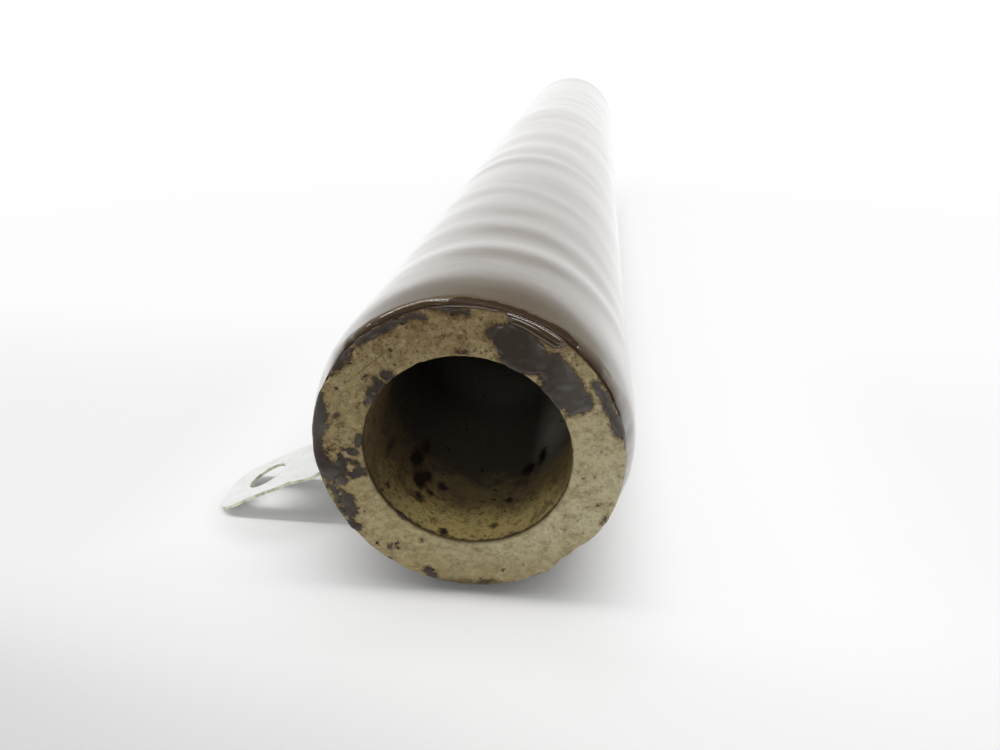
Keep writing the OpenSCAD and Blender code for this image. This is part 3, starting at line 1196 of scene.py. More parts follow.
    def build(self) -> bpy.types.Object:
        """Makes the tube as one closed mesh.

        Returns:
            The piece.
        """
        front, rear = self.end_half(End.FRONT), self.end_half(End.REAR)
        points, glaze, depth = (np.concatenate([a, b[-2:0:-1]]) for a, b in zip(front, rear))
        faces = ring_faces(len(points), self.around, closed=True, flip=True)
        piece = new_piece("ceramic_tube", points.reshape(-1, 3), faces)
        tag(piece, "glaze", glaze)
        tag(piece, "depth", depth)
        return piece

    def dress(self, piece: bpy.types.Object) -> None:
        """Finishes the tube and seats it in the frame."""
        piece.data.materials.append(BareCeramic().paint())
        settle(piece, Slot.CERAMIC, "ceramic_core")


@dataclass(frozen=True)
class Ridge:
    """One soft ridge round the enamel."""

    at: float
    height: float
    half_width: float = 4.0
    slant: float = 0.0
    strongest: float = 0.0
    fade: float = 4.0

    def lift(self, s: np.ndarray, angle: np.ndarray) -> np.ndarray:
        """Height of the ridge.

        Args:
            s: Places along the tube, from the front end.
            angle: Degrees from the top.

        Returns:
            The height at each place, in millimetres.
        """
        middle = self.at + self.slant * np.sin(np.radians(angle))
        share = ((1.0 + np.cos(np.radians(angle - self.strongest))) / 2.0) ** self.fade
        return self.height * share * np.exp(-(((s - middle) / self.half_width) ** 2))


@dataclass
class EnamelCoat:
    """The fired enamel: a wavy sleeve with collars over the straps and a fat lip at the front."""

    tube: Tube
    around: int = 288
    step: float = 0.6
    edge_rows: int = 14
    valley: float = 0.87
    sway_r: float = 15.0
    fit: float = 0.02
    edge_at: float = 0.14
    edge_wander: float = 0.14
    edge_ripple: float = 0.1
    least_at: float = 0.03
    edge_run: float = 1.5
    run_wander: float = 0.3
    side_run: float = 5.0
    roll_at: float = 0.04
    roll_run: float = 1.3
    drawn_back: float = 1.3
    blunt_cut: float = 0.8
    hair_width: float = 0.02
    thread_width: float = 0.14
    bead_width: float = 1.1
    bead_bulge: float = 0.5
    bead_rows: int = 12
    bead_scorch: float = 0.7
    strap_inset: float = 10.0
    strap_end: float = 19.0
    pocket: float = 0.472
    lug_angle: float = -111.0
    swell_fade: float = 2.5
    swell_height: float = 0.35
    swell_width: float = 6.0

    # Stretches of the front rim, named for what the enamel does there
    rolled: Sector = Sector((-14.0, -2.0), (40.0, 60.0))
    blunt: Sector = Sector((-54.0, -42.0), (-14.0, -2.0))
    burnt: Sector = Sector((-12.0, 0.0), (34.0, 50.0))
    browned: Sector = Sector((-60.0, -45.0), (70.0, 85.0))
    lapped: Sector = Sector((14.0, 17.5), (35.5, 38.5))
    threaded: Sector = Sector((-14.0, -8.0), (10.0, 15.0))

    def ridges(self) -> list[Ridge]:
        """The ridges from front to rear, uneven as they fire.

        Returns:
            The ridges, with the hollows at both rims among them.
        """
        rear = self.tube.length
        collars = [
            Ridge(0.0, -0.44, 4.4, 0.0, 14.0, 20.0),
            Ridge(0.0, -0.38, 2.9, 0.0, 62.0, 5.0),
            Ridge(0.0, -0.50, 5.0, 0.0, -43.0, 12.0),
            Ridge(7.0, 0.24, 8.0, 0.0, 0.0, 0.0),
            Ridge(rear - 7.0, 0.30, 8.0, 0.0, 0.0, 0.0),
            Ridge(rear, -0.45, 4.0, 0.0, 0.0, 0.0),
        ]
        near = [
            Ridge(3.2, 0.22, 3.2, 0.0, -25.0, 3.0),
            Ridge(15.2, 0.23, 2.8, 0.8, 20.0),
            Ridge(25.5, 0.15, 3.2, -2.5, 16.0),
            Ridge(35.8, 0.12, 4.0, -4.0),
            Ridge(46.3, 0.07, 2.8, -6.0),
            Ridge(57.0, 0.08, 5.4),
            Ridge(71.8, 0.22, 3.6, -2.0, -18.0, 6.0),
            Ridge(83.0, 0.22, 7.0, 0.0, -20.0, 6.0),
            Ridge(103.0, 0.13, 8.0, 2.0),
            Ridge(123.0, 0.05, 5.0, 0.0, 20.0),
            Ridge(146.0, 0.42, 12.0, 0.0, -20.0),
        ]
        far = []
        for k, at in enumerate((163.0, 181.0, 196.0, 214.0, 231.0)):
            sway = math.sin(2.4 * k)
            far.append(Ridge(at, 0.045 + 0.015 * sway, 6.0, 2.6 * sway, 60.0 * sway, 2.0))
        return collars + near + far

    def scorched(self, angle: np.ndarray, s: np.ndarray, phi: float) -> np.ndarray:
        """Where the short round edge is scorched, more than a half inside the ragged band.

        Args:
            angle: Degrees from the top.
            s: Places along the tube, from the front end.
            phi: Turn along the round edge, from its start.

        Returns:
            One number for each angle.
        """
        band = self.burnt.share(angle) * (1.0 - math.sin(phi) ** 6)
        thin = self.browned.share(angle) * (1.0 - 2.2 * math.sin(phi))
        return np.maximum(band, thin) * (1.0 + 0.4 * ripple(rim_places(angle, 2.0 * s), 0.8, 3, 4.0))

    def taper(self, angle: np.ndarray) -> np.ndarray:
        """Share of the long thin edge along the two sides of the front end, at each angle."""
        gap = angle_gap(angle, 0.0)
        return np.maximum(1.0 - ease(gap, -66.0, -46.0), 0.6 * ease(gap, 58.0, 80.0))

    def bead(self, angle: np.ndarray) -> np.ndarray:
        """Width of the bead that laps over the front face, at least a hair's width all round.

        Args:
            angle: Degrees from the top.

        Returns:
            The width at each angle, in millimetres.
        """
        fuller = 0.8 + 0.2 * ease(angle_gap(angle, 0.0), 20.0, 30.0)
        lapped = self.bead_width * fuller * self.lapped.share(angle)
        return self.hair_width + lapped + self.thread_width * self.threaded.share(angle)

    def edge(self, end: End, angle: np.ndarray) -> tuple[np.ndarray, np.ndarray]:
        """Where the enamel starts, and the length of its rounded edge.

        Args:
            end: The end of the tube.
            angle: Degrees from the top.

        Returns:
            Both lengths at each angle, in millimetres.
        """
        ring = rim_places(angle, 9.0 * end.value)
        wander = ripple(ring, 0.35, 3, 5.0)
        start = self.edge_at + self.edge_wander * wander + self.edge_ripple * ripple(ring, 1.3, 2, 8.0)
        run = self.edge_run + self.run_wander * wander
        if end is End.FRONT:
            roll = self.rolled.share(angle)
            start = start * (1 - roll) + self.roll_at * roll
            run = run * (1 - roll) + (self.roll_run + self.run_wander * wander) * roll
            run = run + (self.side_run - self.edge_run) * self.taper(angle)
            run = run - self.blunt_cut * self.blunt.share(angle)
            start = start + self.drawn_back * (1.0 - ease(np.abs(angle_gap(angle, 180.0)), 62.0, 84.0))
        return np.maximum(start, self.least_at), run

    def lug_swell(self, s: np.ndarray, angle: np.ndarray) -> np.ndarray:
        """Enamel drawn up round the root of a lug.

        Args:
            s: Places along the tube, from the nearer end.
            angle: Degrees from the top.

        Returns:
            The height at each place, in millimetres.
        """
        along = ease(s, self.strap_inset - self.swell_fade, self.strap_inset)
        along = along * (1 - ease(s, self.strap_end, self.strap_end + self.swell_fade))
        across = angle_gap(angle, self.lug_angle) / self.swell_width
        return self.swell_height * along * np.exp(-(across**2))

    def skin(self, s: np.ndarray, angle: np.ndarray) -> np.ndarray:
        """Radius of the enamel away from its edges.

        Args:
            s: Places along the tube, from the front end.
            angle: Degrees from the top.

        Returns:
            The radius at each place, in millimetres.
        """
        radius = np.full(s.shape, self.tube.core_r + self.valley)
        for ridge in self.ridges():
            radius = radius + ridge.lift(s, angle)
        radius = radius + self.lug_swell(s, angle) + self.lug_swell(self.tube.length - s, angle)
        turn = np.radians(angle)
        places = np.stack([self.sway_r * np.sin(turn), s, self.sway_r * np.cos(turn)], axis=-1).reshape(-1, 3)
        uneven = 0.06 * ripple(places, 0.085, 2, 2.0) + 0.008 * ripple(places, 0.25, 2, 6.0)
        return radius + uneven.reshape(s.shape)

    def outside_rows(self, angle: np.ndarray) -> tuple[np.ndarray, np.ndarray, np.ndarray, np.ndarray]:
        """Rows of the enamel's outside, from the front edge to the rear one.

        Args:
            angle: Degrees from the top of each point in a row.

        Returns:
            Places from the front end, shares of the full height, radii that the height starts from, and
            how far the scorched band reaches.
        """
        inner = self.tube.core_r + self.fit
        front_at, front_run = self.edge(End.FRONT, angle)
        rear_at, rear_run = self.edge(End.REAR, angle)
        rear_edge = self.tube.length - rear_at
        bead = self.bead(angle)
        still = np.zeros(self.around)
        rows = [(front_at, still, still + inner, still)]
        for phi in np.radians(np.linspace(0.0, 180.0, self.bead_rows + 1)[:-1]):
            place = front_at - self.bead_bulge / self.bead_width * bead * math.sin(phi)
            root = inner + 0.1 * bead - bead * (1 + math.cos(phi)) / 2
            rows.append((place, still, root, still + float(phi < self.bead_scorch)))
        quarter = np.radians(np.linspace(0.0, 90.0, self.edge_rows + 1))
        for phi in quarter:
            place = front_at + front_run * (1 - math.cos(phi))
            share = math.sin(phi) ** (1.0 + self.taper(angle))
            rows.append((place, share, inner + 0.1 * bead, self.scorched(angle, place, phi)))
        cells = math.ceil((self.tube.length - 2 * self.edge_run) / self.step)
        first, last = front_at + front_run, rear_edge - rear_run
        for t in np.linspace(0.0, 1.0, cells + 1)[1:-1]:
            rows.append((first + (last - first) * t, still + 1.0, still + inner, still))
        for phi in quarter[::-1]:
            place = rear_edge - rear_run * (1 - math.cos(phi))
            rows.append((place, still + math.sin(phi), still + inner, still))
        return tuple(np.array(column) for column in zip(*rows))

    def build(self) -> bpy.types.Object:
        """Makes the enamel as one closed mesh, with the pocket for straps and wire inside.

        Returns:
            The piece.
        """
        angle = np.degrees(np.linspace(0.0, 2.0 * math.pi, self.around, endpoint=False))
        turn = np.radians(angle)
        s, share, root, matte = self.outside_rows(angle)
        full = self.skin(s, np.repeat(angle[None, :], len(s), axis=0))
        radius = root + (full - root) * share
        inner, pocket_r = self.tube.core_r + self.fit, self.tube.core_r + self.pocket
        inside = self.strap_inset - self.fit
        for at, r in ((-inside, inner), (-inside, pocket_r), (inside, pocket_r), (inside, inner)):
            s = np.vstack([s, np.full(self.around, at % self.tube.length)])
            radius = np.vstack([radius, np.full(self.around, r)])
            share = np.vstack([share, np.ones(self.around)])
            matte = np.vstack([matte, np.zeros(self.around)])
        points = np.stack([radius * np.sin(turn), self.tube.along(s), radius * np.cos(turn)], axis=-1)
        faces = ring_faces(len(points), self.around, closed=True, flip=True)
        piece = new_piece("enamel_sleeve", points.reshape(-1, 3), faces)
        tag(piece, "cover", share)
        piece.data.polygons.foreach_set("material_index", (matte > 0.5).ravel().astype(np.int32))
        return piece

    def dress(self, piece: bpy.types.Object) -> None:
        """Finishes the enamel and seats it in the frame.

        Args:
            piece: The enamel.
        """
        for glass in (VitreousEnamel(), ROLLED_ENAMEL):
            piece.data.materials.append(glass.paint())
        settle(piece, Slot.ENAMEL, "enamel_coat")


@dataclass
class TerminalLug:
    """A terminal strap with its lug, bent from one strip."""

    tube: Tube
    end: End
    hole_r: float
    width: float = 9.0
    thickness: float = 0.4
    inset: float = 10.0
    fit: float = 0.02
    seam_angle: float = 10.0
    lug_angle: float = 21.0
    neck_len: float = 7.0
    neck_dip: float = 36.0
    shank_len: float = 2.6
    shank_dip: float = 15.0
    pad_len: float = 10.5
    hole_back: float = 5.7
    corner_r: float = 2.9
    root_bend: float = 0.8
    lug_bend: float = 4.0
    pad_patch: float = 9.9
    columns: int = 24
    wrap_steps: int = 140
    straight_step: float = 0.5
    bend_step: float = 5.0
    hole_rings: int = 9
    edge_bevel: float = 0.07

    def middle_line(self) -> np.ndarray:
        """Middle line of the strip, from its seam to the start of the pad.

        Returns:
            Rows of X, Z and heading in degrees.
        """
        wrap_r = self.tube.core_r + self.fit + self.thickness / 2
        wrap_end = 180.0 + self.lug_angle
        turns = np.linspace(wrap_end - 360.0 + self.seam_angle, wrap_end, self.wrap_steps + 1)
        rows = [(*self.step_from((0.0, 0.0), a, wrap_r), a + 90.0) for a in turns[:-1]]
        headings = [wrap_end + 90.0, 180.0 + self.neck_dip, 180.0 + self.shank_dip]
        reach = self.root_bend * math.tan(math.radians((headings[0] - headings[1]) / 2))
        root = self.step_from(self.step_from((0.0, 0.0), wrap_end, wrap_r), headings[0], reach)
        neck = self.step_from(root, headings[1], self.neck_len)
        shank = self.step_from(neck, headings[2], self.shank_len)
        headings.append(self.pad_heading(shank))
        for corner, before, after, radius in (
            (root, headings[0], headings[1], self.root_bend),
            (neck, headings[1], headings[2], self.lug_bend),
            (shank, headings[2], headings[3], self.lug_bend),
        ):
            bend = self.bend(corner, before, after, radius)
            rows += self.straight(rows[-1], bend[0]) + bend
        start = self.step_from(shank, headings[3], self.pad_len - self.pad_patch)
        rows += self.straight(rows[-1], (*start, headings[3])) + [(*start, headings[3])]
        return np.array(rows)

    def pad_heading(self, shank: Point) -> float:
        """Heading of the pad whose lower edge just meets the floor.

        Args:
            shank: Where the pad starts.

        Returns:
            The heading in degrees.
        """
        dip = 0.0
        for _ in range(2):
            drop = shank[1] - self.tube.floor - self.thickness / 2 * math.cos(math.radians(dip))
            dip = math.degrees(math.asin(drop / self.pad_len))
        return 180.0 + dip

    @staticmethod
    def step_from(start: Point, heading: float, length: float) -> Point:
        """Point at a distance from another along a heading."""
        turn = math.radians(heading)
        return start[0] + length * math.cos(turn), start[1] + length * math.sin(turn)

    def straight(self, start: Sequence[float], stop: Sequence[float]) -> list[Station]:
        """Stations between two others on a straight stretch, with neither end.

        Args:
            start: X and Z to start from, and anything after them.
            stop: X, Z and heading of the far end.

        Returns:
            Rows of X, Z and heading.
        """
        count = max(1, math.ceil(math.dist(start[:2], stop[:2]) / self.straight_step))
        stations = []
        for k in range(1, count):
            x, z = (a + (b - a) * k / count for a, b in zip(start[:2], stop[:2]))
            stations.append((x, z, stop[2]))
        return stations

    def bend(self, corner: Point, before: float, after: float, radius: float) -> list[Station]:
        """Stations on the arc that rounds a corner of the middle line.

        Args:
            corner: The sharp corner.
            before: Heading into it, in degrees.
            after: Heading out of it.
            radius: Radius of the arc.

        Returns:
            Rows of X, Z and heading.
        """
        turn = after - before
        side = math.copysign(1.0, turn)
        start = self.step_from(corner, before, -radius * math.tan(math.radians(abs(turn) / 2)))
        centre = self.step_from(start, before + 90.0 * side, radius)
        count = max(2, math.ceil(abs(turn) / self.bend_step))
        headings = [before + turn * k / count for k in range(count + 1)]
        return [(*self.step_from(centre, a - 90.0 * side, radius), a) for a in headings]

    def pad_outline(self) -> np.ndarray:
        """Outline of the pad round its hole, starting along the side that joins the shank.

        Returns:
            Rows of distance from the tip and place across the strip.
        """
        half, r, patch = self.width / 2, self.corner_r, self.pad_patch
        joint = [(patch, v) for v in np.linspace(-half, half, self.columns + 1)]
        side = [(d, half) for d in np.linspace(patch, r, 15)[1:]]
        turns = np.radians(np.linspace(0, 90, 13))[1:]
        arc = [(r - r * math.sin(a), half - r + r * math.cos(a)) for a in turns]
        tip = [(0.0, v) for v in np.linspace(half - r, 0.0, 4)[1:-1]]
        upper = side + arc + tip
        lower = [(d, -v) for d, v in upper[::-1]]
        return np.array(joint + upper + [(0.0, 0.0)] + lower)

    def middle_surface(self) -> tuple[np.ndarray, list[tuple[int, ...]]]:
        """Middle surface of the strip, with the hole in its pad.

        Returns:
            The points, and the corners of each face.
        """
        line = self.middle_line()
        across = np.linspace(-self.width / 2, self.width / 2, self.columns + 1)
        points = [(x, v, z) for x, z, _ in line for v in across]
        wide = self.columns + 1
        faces = [
            (row * wide + k, row * wide + k + 1, (row + 1) * wide + k + 1, (row + 1) * wide + k)
            for row in range(len(line) - 1)
            for k in range(self.columns)
        ]
        end_x, end_z, heading = line[-1]
        outline = self.pad_outline()
        angle = np.arctan2(outline[:, 1], outline[:, 0] - self.hole_back)
        hole = np.stack([self.hole_back + self.hole_r * np.cos(angle), self.hole_r * np.sin(angle)], axis=1)
        count = len(outline)
        rings = []
        for k in range(self.hole_rings + 1):
            share = (k / self.hole_rings) ** 0.8
            ring = []
            for j, (d, v) in enumerate(outline + (hole - outline) * share):
                if k == 0 and j < wide:
                    ring.append((len(line) - 1) * wide + j)
                    continue
                x, z = self.step_from((end_x, end_z), heading, self.pad_patch - d)
                ring.append(len(points))
                points.append((x, v, z))
            rings.append(ring)
        for outer, within in zip(rings, rings[1:]):
            for j in range(count):
                n = (j + 1) % count
                faces.append((outer[j], outer[n], within[n], within[j]))
        return np.array(points), faces

    def build(self) -> bpy.types.Object:
        """Makes the strip at its thickness, with softened edges and the slight waves of hand bending.

        Returns:
            The piece.
        """
        name = f"{self.end.name.lower()}_terminal_strip"
        points, faces = self.middle_surface()
        tip = -points[:, 0].min()
        free = ease(-points[:, 0], self.tube.core_r + 1.0, self.tube.core_r + 8.0)
        free = free * (1.0 - ease(-points[:, 0], tip - 6.0, tip))
        points[:, 2] += 0.15 * free * ripple(points + 7.0 * self.end.value, 0.16, 2, 4.0)
        middle = self.tube.along(self.inset + self.width / 2)
        points[:, 1] = -self.end.value * (points[:, 1] + middle)
        piece = new_piece(name, points / MM, faces)
        self.thicken(piece)
        return piece

    def thicken(self, piece: bpy.types.Object) -> None:
        """Gives the middle surface its thickness and bevels, and brings it from millimetres to metres.

        Args:
            piece: The middle surface, made a thousand times too large.
        """
        piece.data.materials.append(TinnedStrip().paint())
        piece.data.materials.append(CutEdge().paint())
        shell = piece.modifiers.new("thickness", "SOLIDIFY")
        shell.thickness = self.thickness
        shell.offset = 0.0
        shell.use_even_offset = True
        shell.material_offset_rim = 1
        bevel = piece.modifiers.new("soft_edges", "BEVEL")
        bevel.width = self.edge_bevel
        bevel.segments = 2
        bevel.limit_method = "ANGLE"
        bevel.angle_limit = math.radians(60.0)
        bpy.context.view_layer.update()
        graph = bpy.context.evaluated_depsgraph_get()
        mesh = bpy.data.meshes.new_from_object(piece.evaluated_get(graph))
        piece.modifiers.clear()
        mesh.name = piece.name
        mesh.transform(Matrix.Scale(MM, 4))
        piece.data = mesh

    def dress(self, piece: bpy.types.Object) -> None:
        """Seats the strip in the frame."""
        settle(piece, Slot.STRIP, f"{self.end.name.lower()}_terminal")


@dataclass
class ResistanceWinding:
    """The helix of resistance wire, from one brazed bead to the other."""

    tube: Tube
    wire_d: float = 0.25
    turns: int = 24
    rings_per_turn: int = 90
    sides: int = 10
    first_at: float = 19.72
    bead_angle: float = 60.0
    fit: float = 0.02

    def build(self) -> bpy.types.Object:
        """Makes the wire as one closed tube.

        Returns:
            The piece.
        """
        rings = self.turns * self.rings_per_turn + 1
        share = np.linspace(0.0, 1.0, rings)
        turn = np.radians(self.bead_angle) + 2.0 * math.pi * self.turns * share
        s = self.first_at + (self.tube.length - 2 * self.first_at) * share
        wire_r = self.wire_d / 2
        path_r = self.tube.core_r + self.fit + wire_r
        around = np.linspace(0.0, 2.0 * math.pi, self.sides, endpoint=False)
        radius = path_r + wire_r * np.cos(around)[None, :]
        along = s[:, None] + wire_r * np.sin(around)[None, :]
        x, z = radius * np.cos(turn)[:, None], radius * np.sin(turn)[:, None]
        points = np.stack([x, self.tube.along(along), z], axis=-1).reshape(-1, 3)
        faces = ring_faces(rings, self.sides, closed=False)
        faces.append(tuple(range(self.sides))[::-1])
        faces.append(tuple(range((rings - 1) * self.sides, rings * self.sides)))
        return new_piece("wire_helix", points, faces)

    def dress(self, piece: bpy.types.Object) -> None:
        """Finishes the wire and seats it in the frame."""
        piece.data.materials.append(OXIDISED_WIRE.paint())
        settle(piece, Slot.WIRE, "resistance_winding")


@dataclass
class BrazedBeads:
    """The two brazed beads, which keep their CAD shape."""

    nodes: tuple[str, ...] = ("front_braze", "rear_braze")

    def dress(self, frame: dict) -> None:
        """Finishes both beads.

        Args:
            frame: The loaded frame.
        """
        brass = BRAZED_BRASS.paint()
        for name in self.nodes:
            bead = frame["nodes"][name]
            bead.data.materials.clear()
            bead.data.materials.append(brass)
            LOG.info("%s: keeps its shape", name)


# ---- Studio ---------------------------------------------------------------


@dataclass(frozen=True)
class PaleFloor:
    """White table top, with painted shade close to the viewer, that fades into plain white far away."""

    front: float
    white: Colour = (0.97, 0.97, 0.97)
    paper: Colour = (1.0, 1.0, 1.0)
    near_shade_grey: Colour = (0.62, 0.627, 0.623)
    side_shade_grey: Colour = (0.89, 0.893, 0.89)
    shade: Colour = (0.06, 0.06, 0.06)
    fade_from: float = 18.0
    fade_to: float = 260.0
    gloss_to: float = 150.0
    lug_at: Point = (-23.5, 13.5)

    def faded(self, sheet: NodeSheet, place: Socket, away: Socket) -> Socket:
        """Share of plain white that the viewer sees: all far off, none under the front end and the lug.

        Args:
            sheet: The material's nodes.
            place: Place in millimetres.
            away: Distance from the front end.

        Returns:
            The share.
        """
        x = sheet.axis(place, "X")
        behind = sheet.minus(sheet.axis(place, "Y"), self.front)
        # Painted light: beside the tube and a little ahead, this white lies over most of the tube's shadow
        left = sheet.plus(x, sheet.times(sheet.calc("MINIMUM", behind, 10.0), 0.5))
        left = sheet.rise(left, -6.0, -30.0, 0.0, 0.85)
        side = sheet.most(sheet.rise(x, 7.0, 23.0, 0.0, 0.85), left)
        side = sheet.times(side, sheet.rise(behind, -18.0, 3.0, 0.25, 1.0))
        across = sheet.minus(x, self.lug_at[0])
        along = sheet.minus(behind, self.lug_at[1])
        gap = sheet.calc("SQRT", sheet.plus(sheet.times(across, across), sheet.times(along, along)))
        side = sheet.times(side, sheet.rise(gap, 5.5, 10.0))
        ahead = sheet.rise(behind, -2.5, -9.0, 0.0, 0.12)
        far = sheet.rise(away, self.fade_from, self.fade_to)
        return sheet.most(sheet.most(side, ahead), far)

    def paper_tone(self, sheet: NodeSheet, place: Socket, near: Socket, away: Socket) -> Socket:
        """Colour of the plain white that the viewer sees, with painted shade to both sides of the front end
        and ahead.

        Args:
            sheet: The material's nodes.
            place: Place in millimetres.
            near: Place along the tube, a little aslant.
            away: Distance from the front end.

        Returns:
            The colour.
        """
        x, y = sheet.axis(place, "X"), sheet.axis(place, "Y")
        # Painted shade: grey to both sides of the front end and ahead
        shade_share = sheet.most(sheet.rise(x, -24.0, -46.0), sheet.rise(x, 34.0, 60.0, 0.0, 0.5))
        shade_share = sheet.times(shade_share, sheet.rise(y, self.front + 90.0, self.front + 30.0))
        shade_share = sheet.most(shade_share, sheet.rise(near, -128.0, -150.0))
        shade_share = sheet.times(shade_share, sheet.rise(away, 420.0, 280.0))
        return sheet.blend(shade_share, self.paper, self.side_shade_grey)

    def paint(self) -> bpy.types.Material:
        """Makes the material.

        Returns:
            The material.
        """
        sheet = NodeSheet("pale_floor")
        place = sheet.place()
        x, y = sheet.axis(place, "X"), sheet.axis(place, "Y")
        near = sheet.plus(y, sheet.times(x, 0.3))
        # Painted shade: the floor greys towards the viewer
        tone = sheet.washes(
            self.white,
            (near, -88.0, -143.0, 1.0, self.side_shade_grey),
            (near, -143.0, -168.0, 1.0, self.near_shade_grey),
            (sheet.grain(place, 0.05, 4.0, 0.6), 0.4, 0.7, 0.05, self.near_shade_grey),
        )
        rays = sheet.add("ShaderNodeLightPath").outputs
        shaded = sheet.rise(y, self.front - 8.0, self.front - 30.0)
        shaded = sheet.times(shaded, sheet.rise(sheet.calc("ABSOLUTE", x), 60.0, 25.0))
        tone = sheet.blend(sheet.times(rays["Is Glossy Ray"], shaded), tone, self.shade)
        material = sheet.finish(Base_Color=tone, Roughness=0.6, Specular_IOR_Level=0.2)
        ends = {0: place, 1: (0.0, self.front, 0.0)}
        away = sheet.give("ShaderNodeVectorMath", "Value", ends, operation="DISTANCE")
        seen = sheet.times(rays["Is Camera Ray"], self.faded(sheet, place, away))
        mirrored = sheet.times(sheet.rise(away, self.fade_from, self.gloss_to), sheet.minus(1.0, shaded))
        mirrored = sheet.times(rays["Is Glossy Ray"], mirrored)
        tone = self.paper_tone(sheet, place, near, away)
        paper = sheet.give("ShaderNodeEmission", "Emission", {"Color": tone})
        mixed = sheet.choose(sheet.plus(seen, mirrored), sheet.shader.outputs["BSDF"], paper)
        sheet.feed(sheet.output.inputs["Surface"], mixed)
        return material


@dataclass
class Softbox:
    """A flat lamp that is aimed at a point."""

    name: str
    place: tuple[float, float, float]
    aim: tuple[float, float, float]
    size: Point
    power: float

    def build(self) -> None:
        """Adds the lamp, from sizes in millimetres and power in watts."""
        lamp = bpy.data.lights.new(self.name, "AREA")
        lamp.shape = "RECTANGLE"
        lamp.size, lamp.size_y = self.size[0] * MM, self.size[1] * MM
        lamp.energy = self.power
        holder = bpy.data.objects.new(self.name, lamp)
        bpy.context.scene.collection.objects.link(holder)
        holder.location = Vector(self.place) * MM
        heading = (Vector(self.aim) - Vector(self.place)).normalized()
        holder.rotation_euler = heading.to_track_quat("-Z", "Y").to_euler()


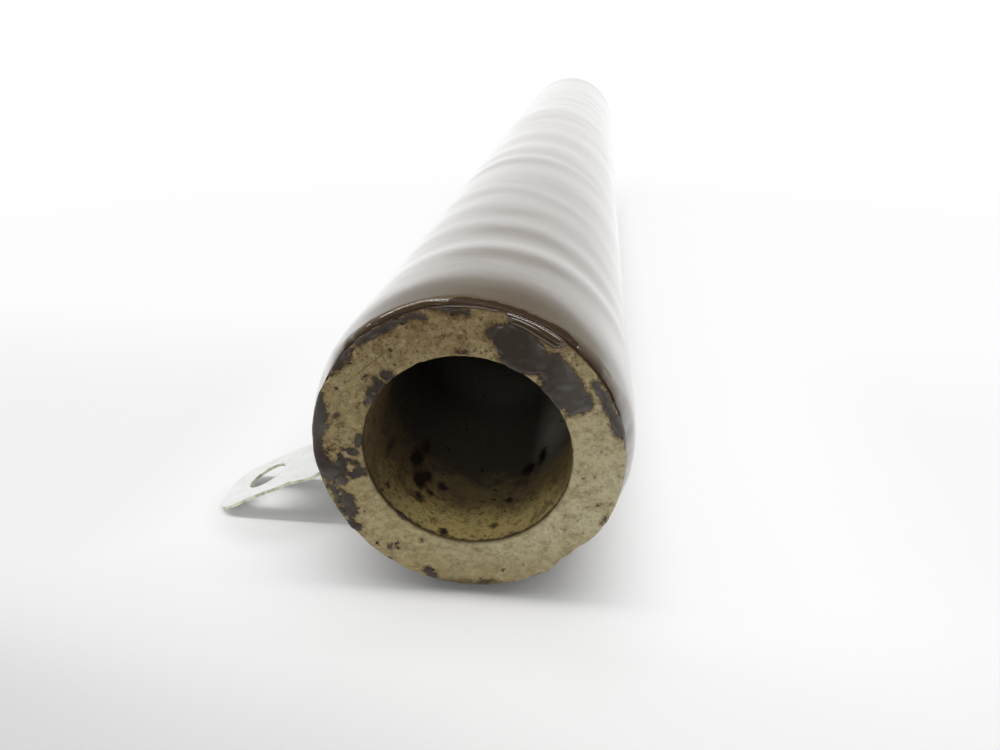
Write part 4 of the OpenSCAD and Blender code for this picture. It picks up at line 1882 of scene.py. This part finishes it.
@dataclass
class Studio:
    """Floor, sky, lamps and camera."""

    tube: Tube
    floor_half: float = 4000.0
    sky_light: float = 0.22
    gloss_stops: tuple[Point, ...] = (
        (-1.35, 0.15), (-1.0, 0.25), (0.0, 0.45), (0.45, 0.66), (0.57, 0.8), (0.68, 1.0),
    )
    slim_tubes: tuple[Point, ...] = (
        (-240.0, 2.0), (0.0, 3.5), (25.0, 3.5), (60.0, 3.2), (140.0, 1.2), (320.0, 1.7),
    )
    slim_tube_height: float = 1000.0
    slim_tube_size: Point = (3000.0, 14.0)
    box_ahead: float = 800.0
    box_height: float = 460.0
    box_size: Point = (500.0, 250.0)
    box_power: float = 1.5
    camera_right: float = 10.43
    camera_ahead: float = 63.18
    camera_above: float = 36.42
    camera_tilt: float = 66.045
    camera_turn: float = 6.595
    lens: float = 29.016
    sensor: float = 36.0

    def lay_floor(self) -> None:
        """Lays the floor under the lowest point of the part."""
        half, z = self.floor_half, self.tube.floor
        corners = np.array([(-half, -half, z), (half, -half, z), (half, half, z), (-half, half, z)])
        floor = new_piece("table_top", corners, [(0, 1, 2, 3)])
        floor.data.materials.append(PaleFloor(self.tube.along(0.0)).paint())
        floor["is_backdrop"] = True

    def raise_sky(self) -> None:
        """Surrounds the part with soft light: white to the camera, and to gloss only low down at the back."""
        sheet = SkySheet("soft_sky")
        toward = sheet.add("ShaderNodeTexCoord").outputs["Generated"]
        aside = sheet.calc("ABSOLUTE", sheet.axis(toward, "X"))
        low = sheet.rise(sheet.calc("ABSOLUTE", sheet.axis(toward, "Z")), 0.4, 0.15, 0.0, 1.2)
        boost = sheet.times(sheet.rise(aside, 0.7, 0.95), low)
        aside = sheet.minus(sheet.times(aside, 0.3), boost)
        backward = sheet.minus(sheet.axis(toward, "Y"), sheet.axis(toward, "Z"))
        backward = sheet.minus(backward, aside)
        ramp = sheet.add("ShaderNodeValToRGB")
        steepest = math.sqrt(2.0)
        sheet.feed(ramp.inputs["Fac"], sheet.plus(sheet.times(backward, 0.5 / steepest), 0.5))
        stops = ramp.color_ramp.elements
        stops.remove(stops[1])
        for place, level in self.gloss_stops:
            stop = stops.new(0.5 + 0.5 * place / steepest)
            stop.color = (level, level, level, 1.0)
        stops.remove(stops[0])
        rays = sheet.add("ShaderNodeLightPath").outputs
        light = sheet.glow((self.sky_light,) * 3)
        light = sheet.choose(rays["Is Glossy Ray"], light, sheet.glow(ramp.outputs["Color"]))
        plain = sheet.most(rays["Is Camera Ray"], rays["Is Transmission Ray"])
        light = sheet.choose(plain, light, sheet.glow((1.0, 1.0, 1.0)))
        sheet.feed(sheet.add("ShaderNodeOutputWorld").inputs["Surface"], light)
        bpy.context.scene.world = sheet.world

    def hang_lamps(self) -> None:
        """Hangs slim tubes across the front end, and a softbox high up in front of it."""
        end = self.tube.along(0.0)
        for k, (behind, power) in enumerate(self.slim_tubes, start=1):
            under = (0.0, end + behind, 0.0)
            above = (0.0, end + behind, self.slim_tube_height)
            Softbox(f"slim_tube_{k}", above, under, self.slim_tube_size, power).build()
        place = (0.0, end - self.box_ahead, self.box_height)
        Softbox("front_box", place, (0.0, end, 0.0), self.box_size, self.box_power).build()

    def set_camera(self) -> None:
        """Places the camera in front of the tube, above its axis."""
        data = bpy.data.cameras.new("camera")
        data.sensor_width = self.sensor
        data.lens = self.lens
        data.clip_start = 0.001
        data.clip_end = 50.0
        camera = bpy.data.objects.new("camera", data)
        bpy.context.scene.collection.objects.link(camera)
        ahead = self.tube.along(0.0) - self.camera_ahead
        camera.location = Vector((self.camera_right, ahead, self.camera_above)) * MM
        camera.rotation_euler = (math.radians(self.camera_tilt), 0.0, math.radians(self.camera_turn))
        bpy.context.scene.camera = camera

    def build(self) -> None:
        """Sets up the whole studio."""
        self.lay_floor()
        self.raise_sky()
        self.hang_lamps()
        self.set_camera()
        bpy.context.scene.view_settings.view_transform = "Standard"


def main() -> None:
    """Builds every piece round the frame."""
    logging.basicConfig(level=logging.INFO, format="%(name)s: %(message)s")
    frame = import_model()
    tube = Tube.from_frame(frame["record"])
    hole_r = mount_radius(frame["record"], "front_lug_hole")
    parts = (
        CeramicCore(tube),
        EnamelCoat(tube),
        TerminalLug(tube, End.FRONT, hole_r),
        TerminalLug(tube, End.REAR, hole_r),
        ResistanceWinding(tube),
    )
    for part in parts:
        part.dress(part.build())
    BrazedBeads().dress(frame)
    Studio(tube).build()


if __name__ == "__main__":
    main()
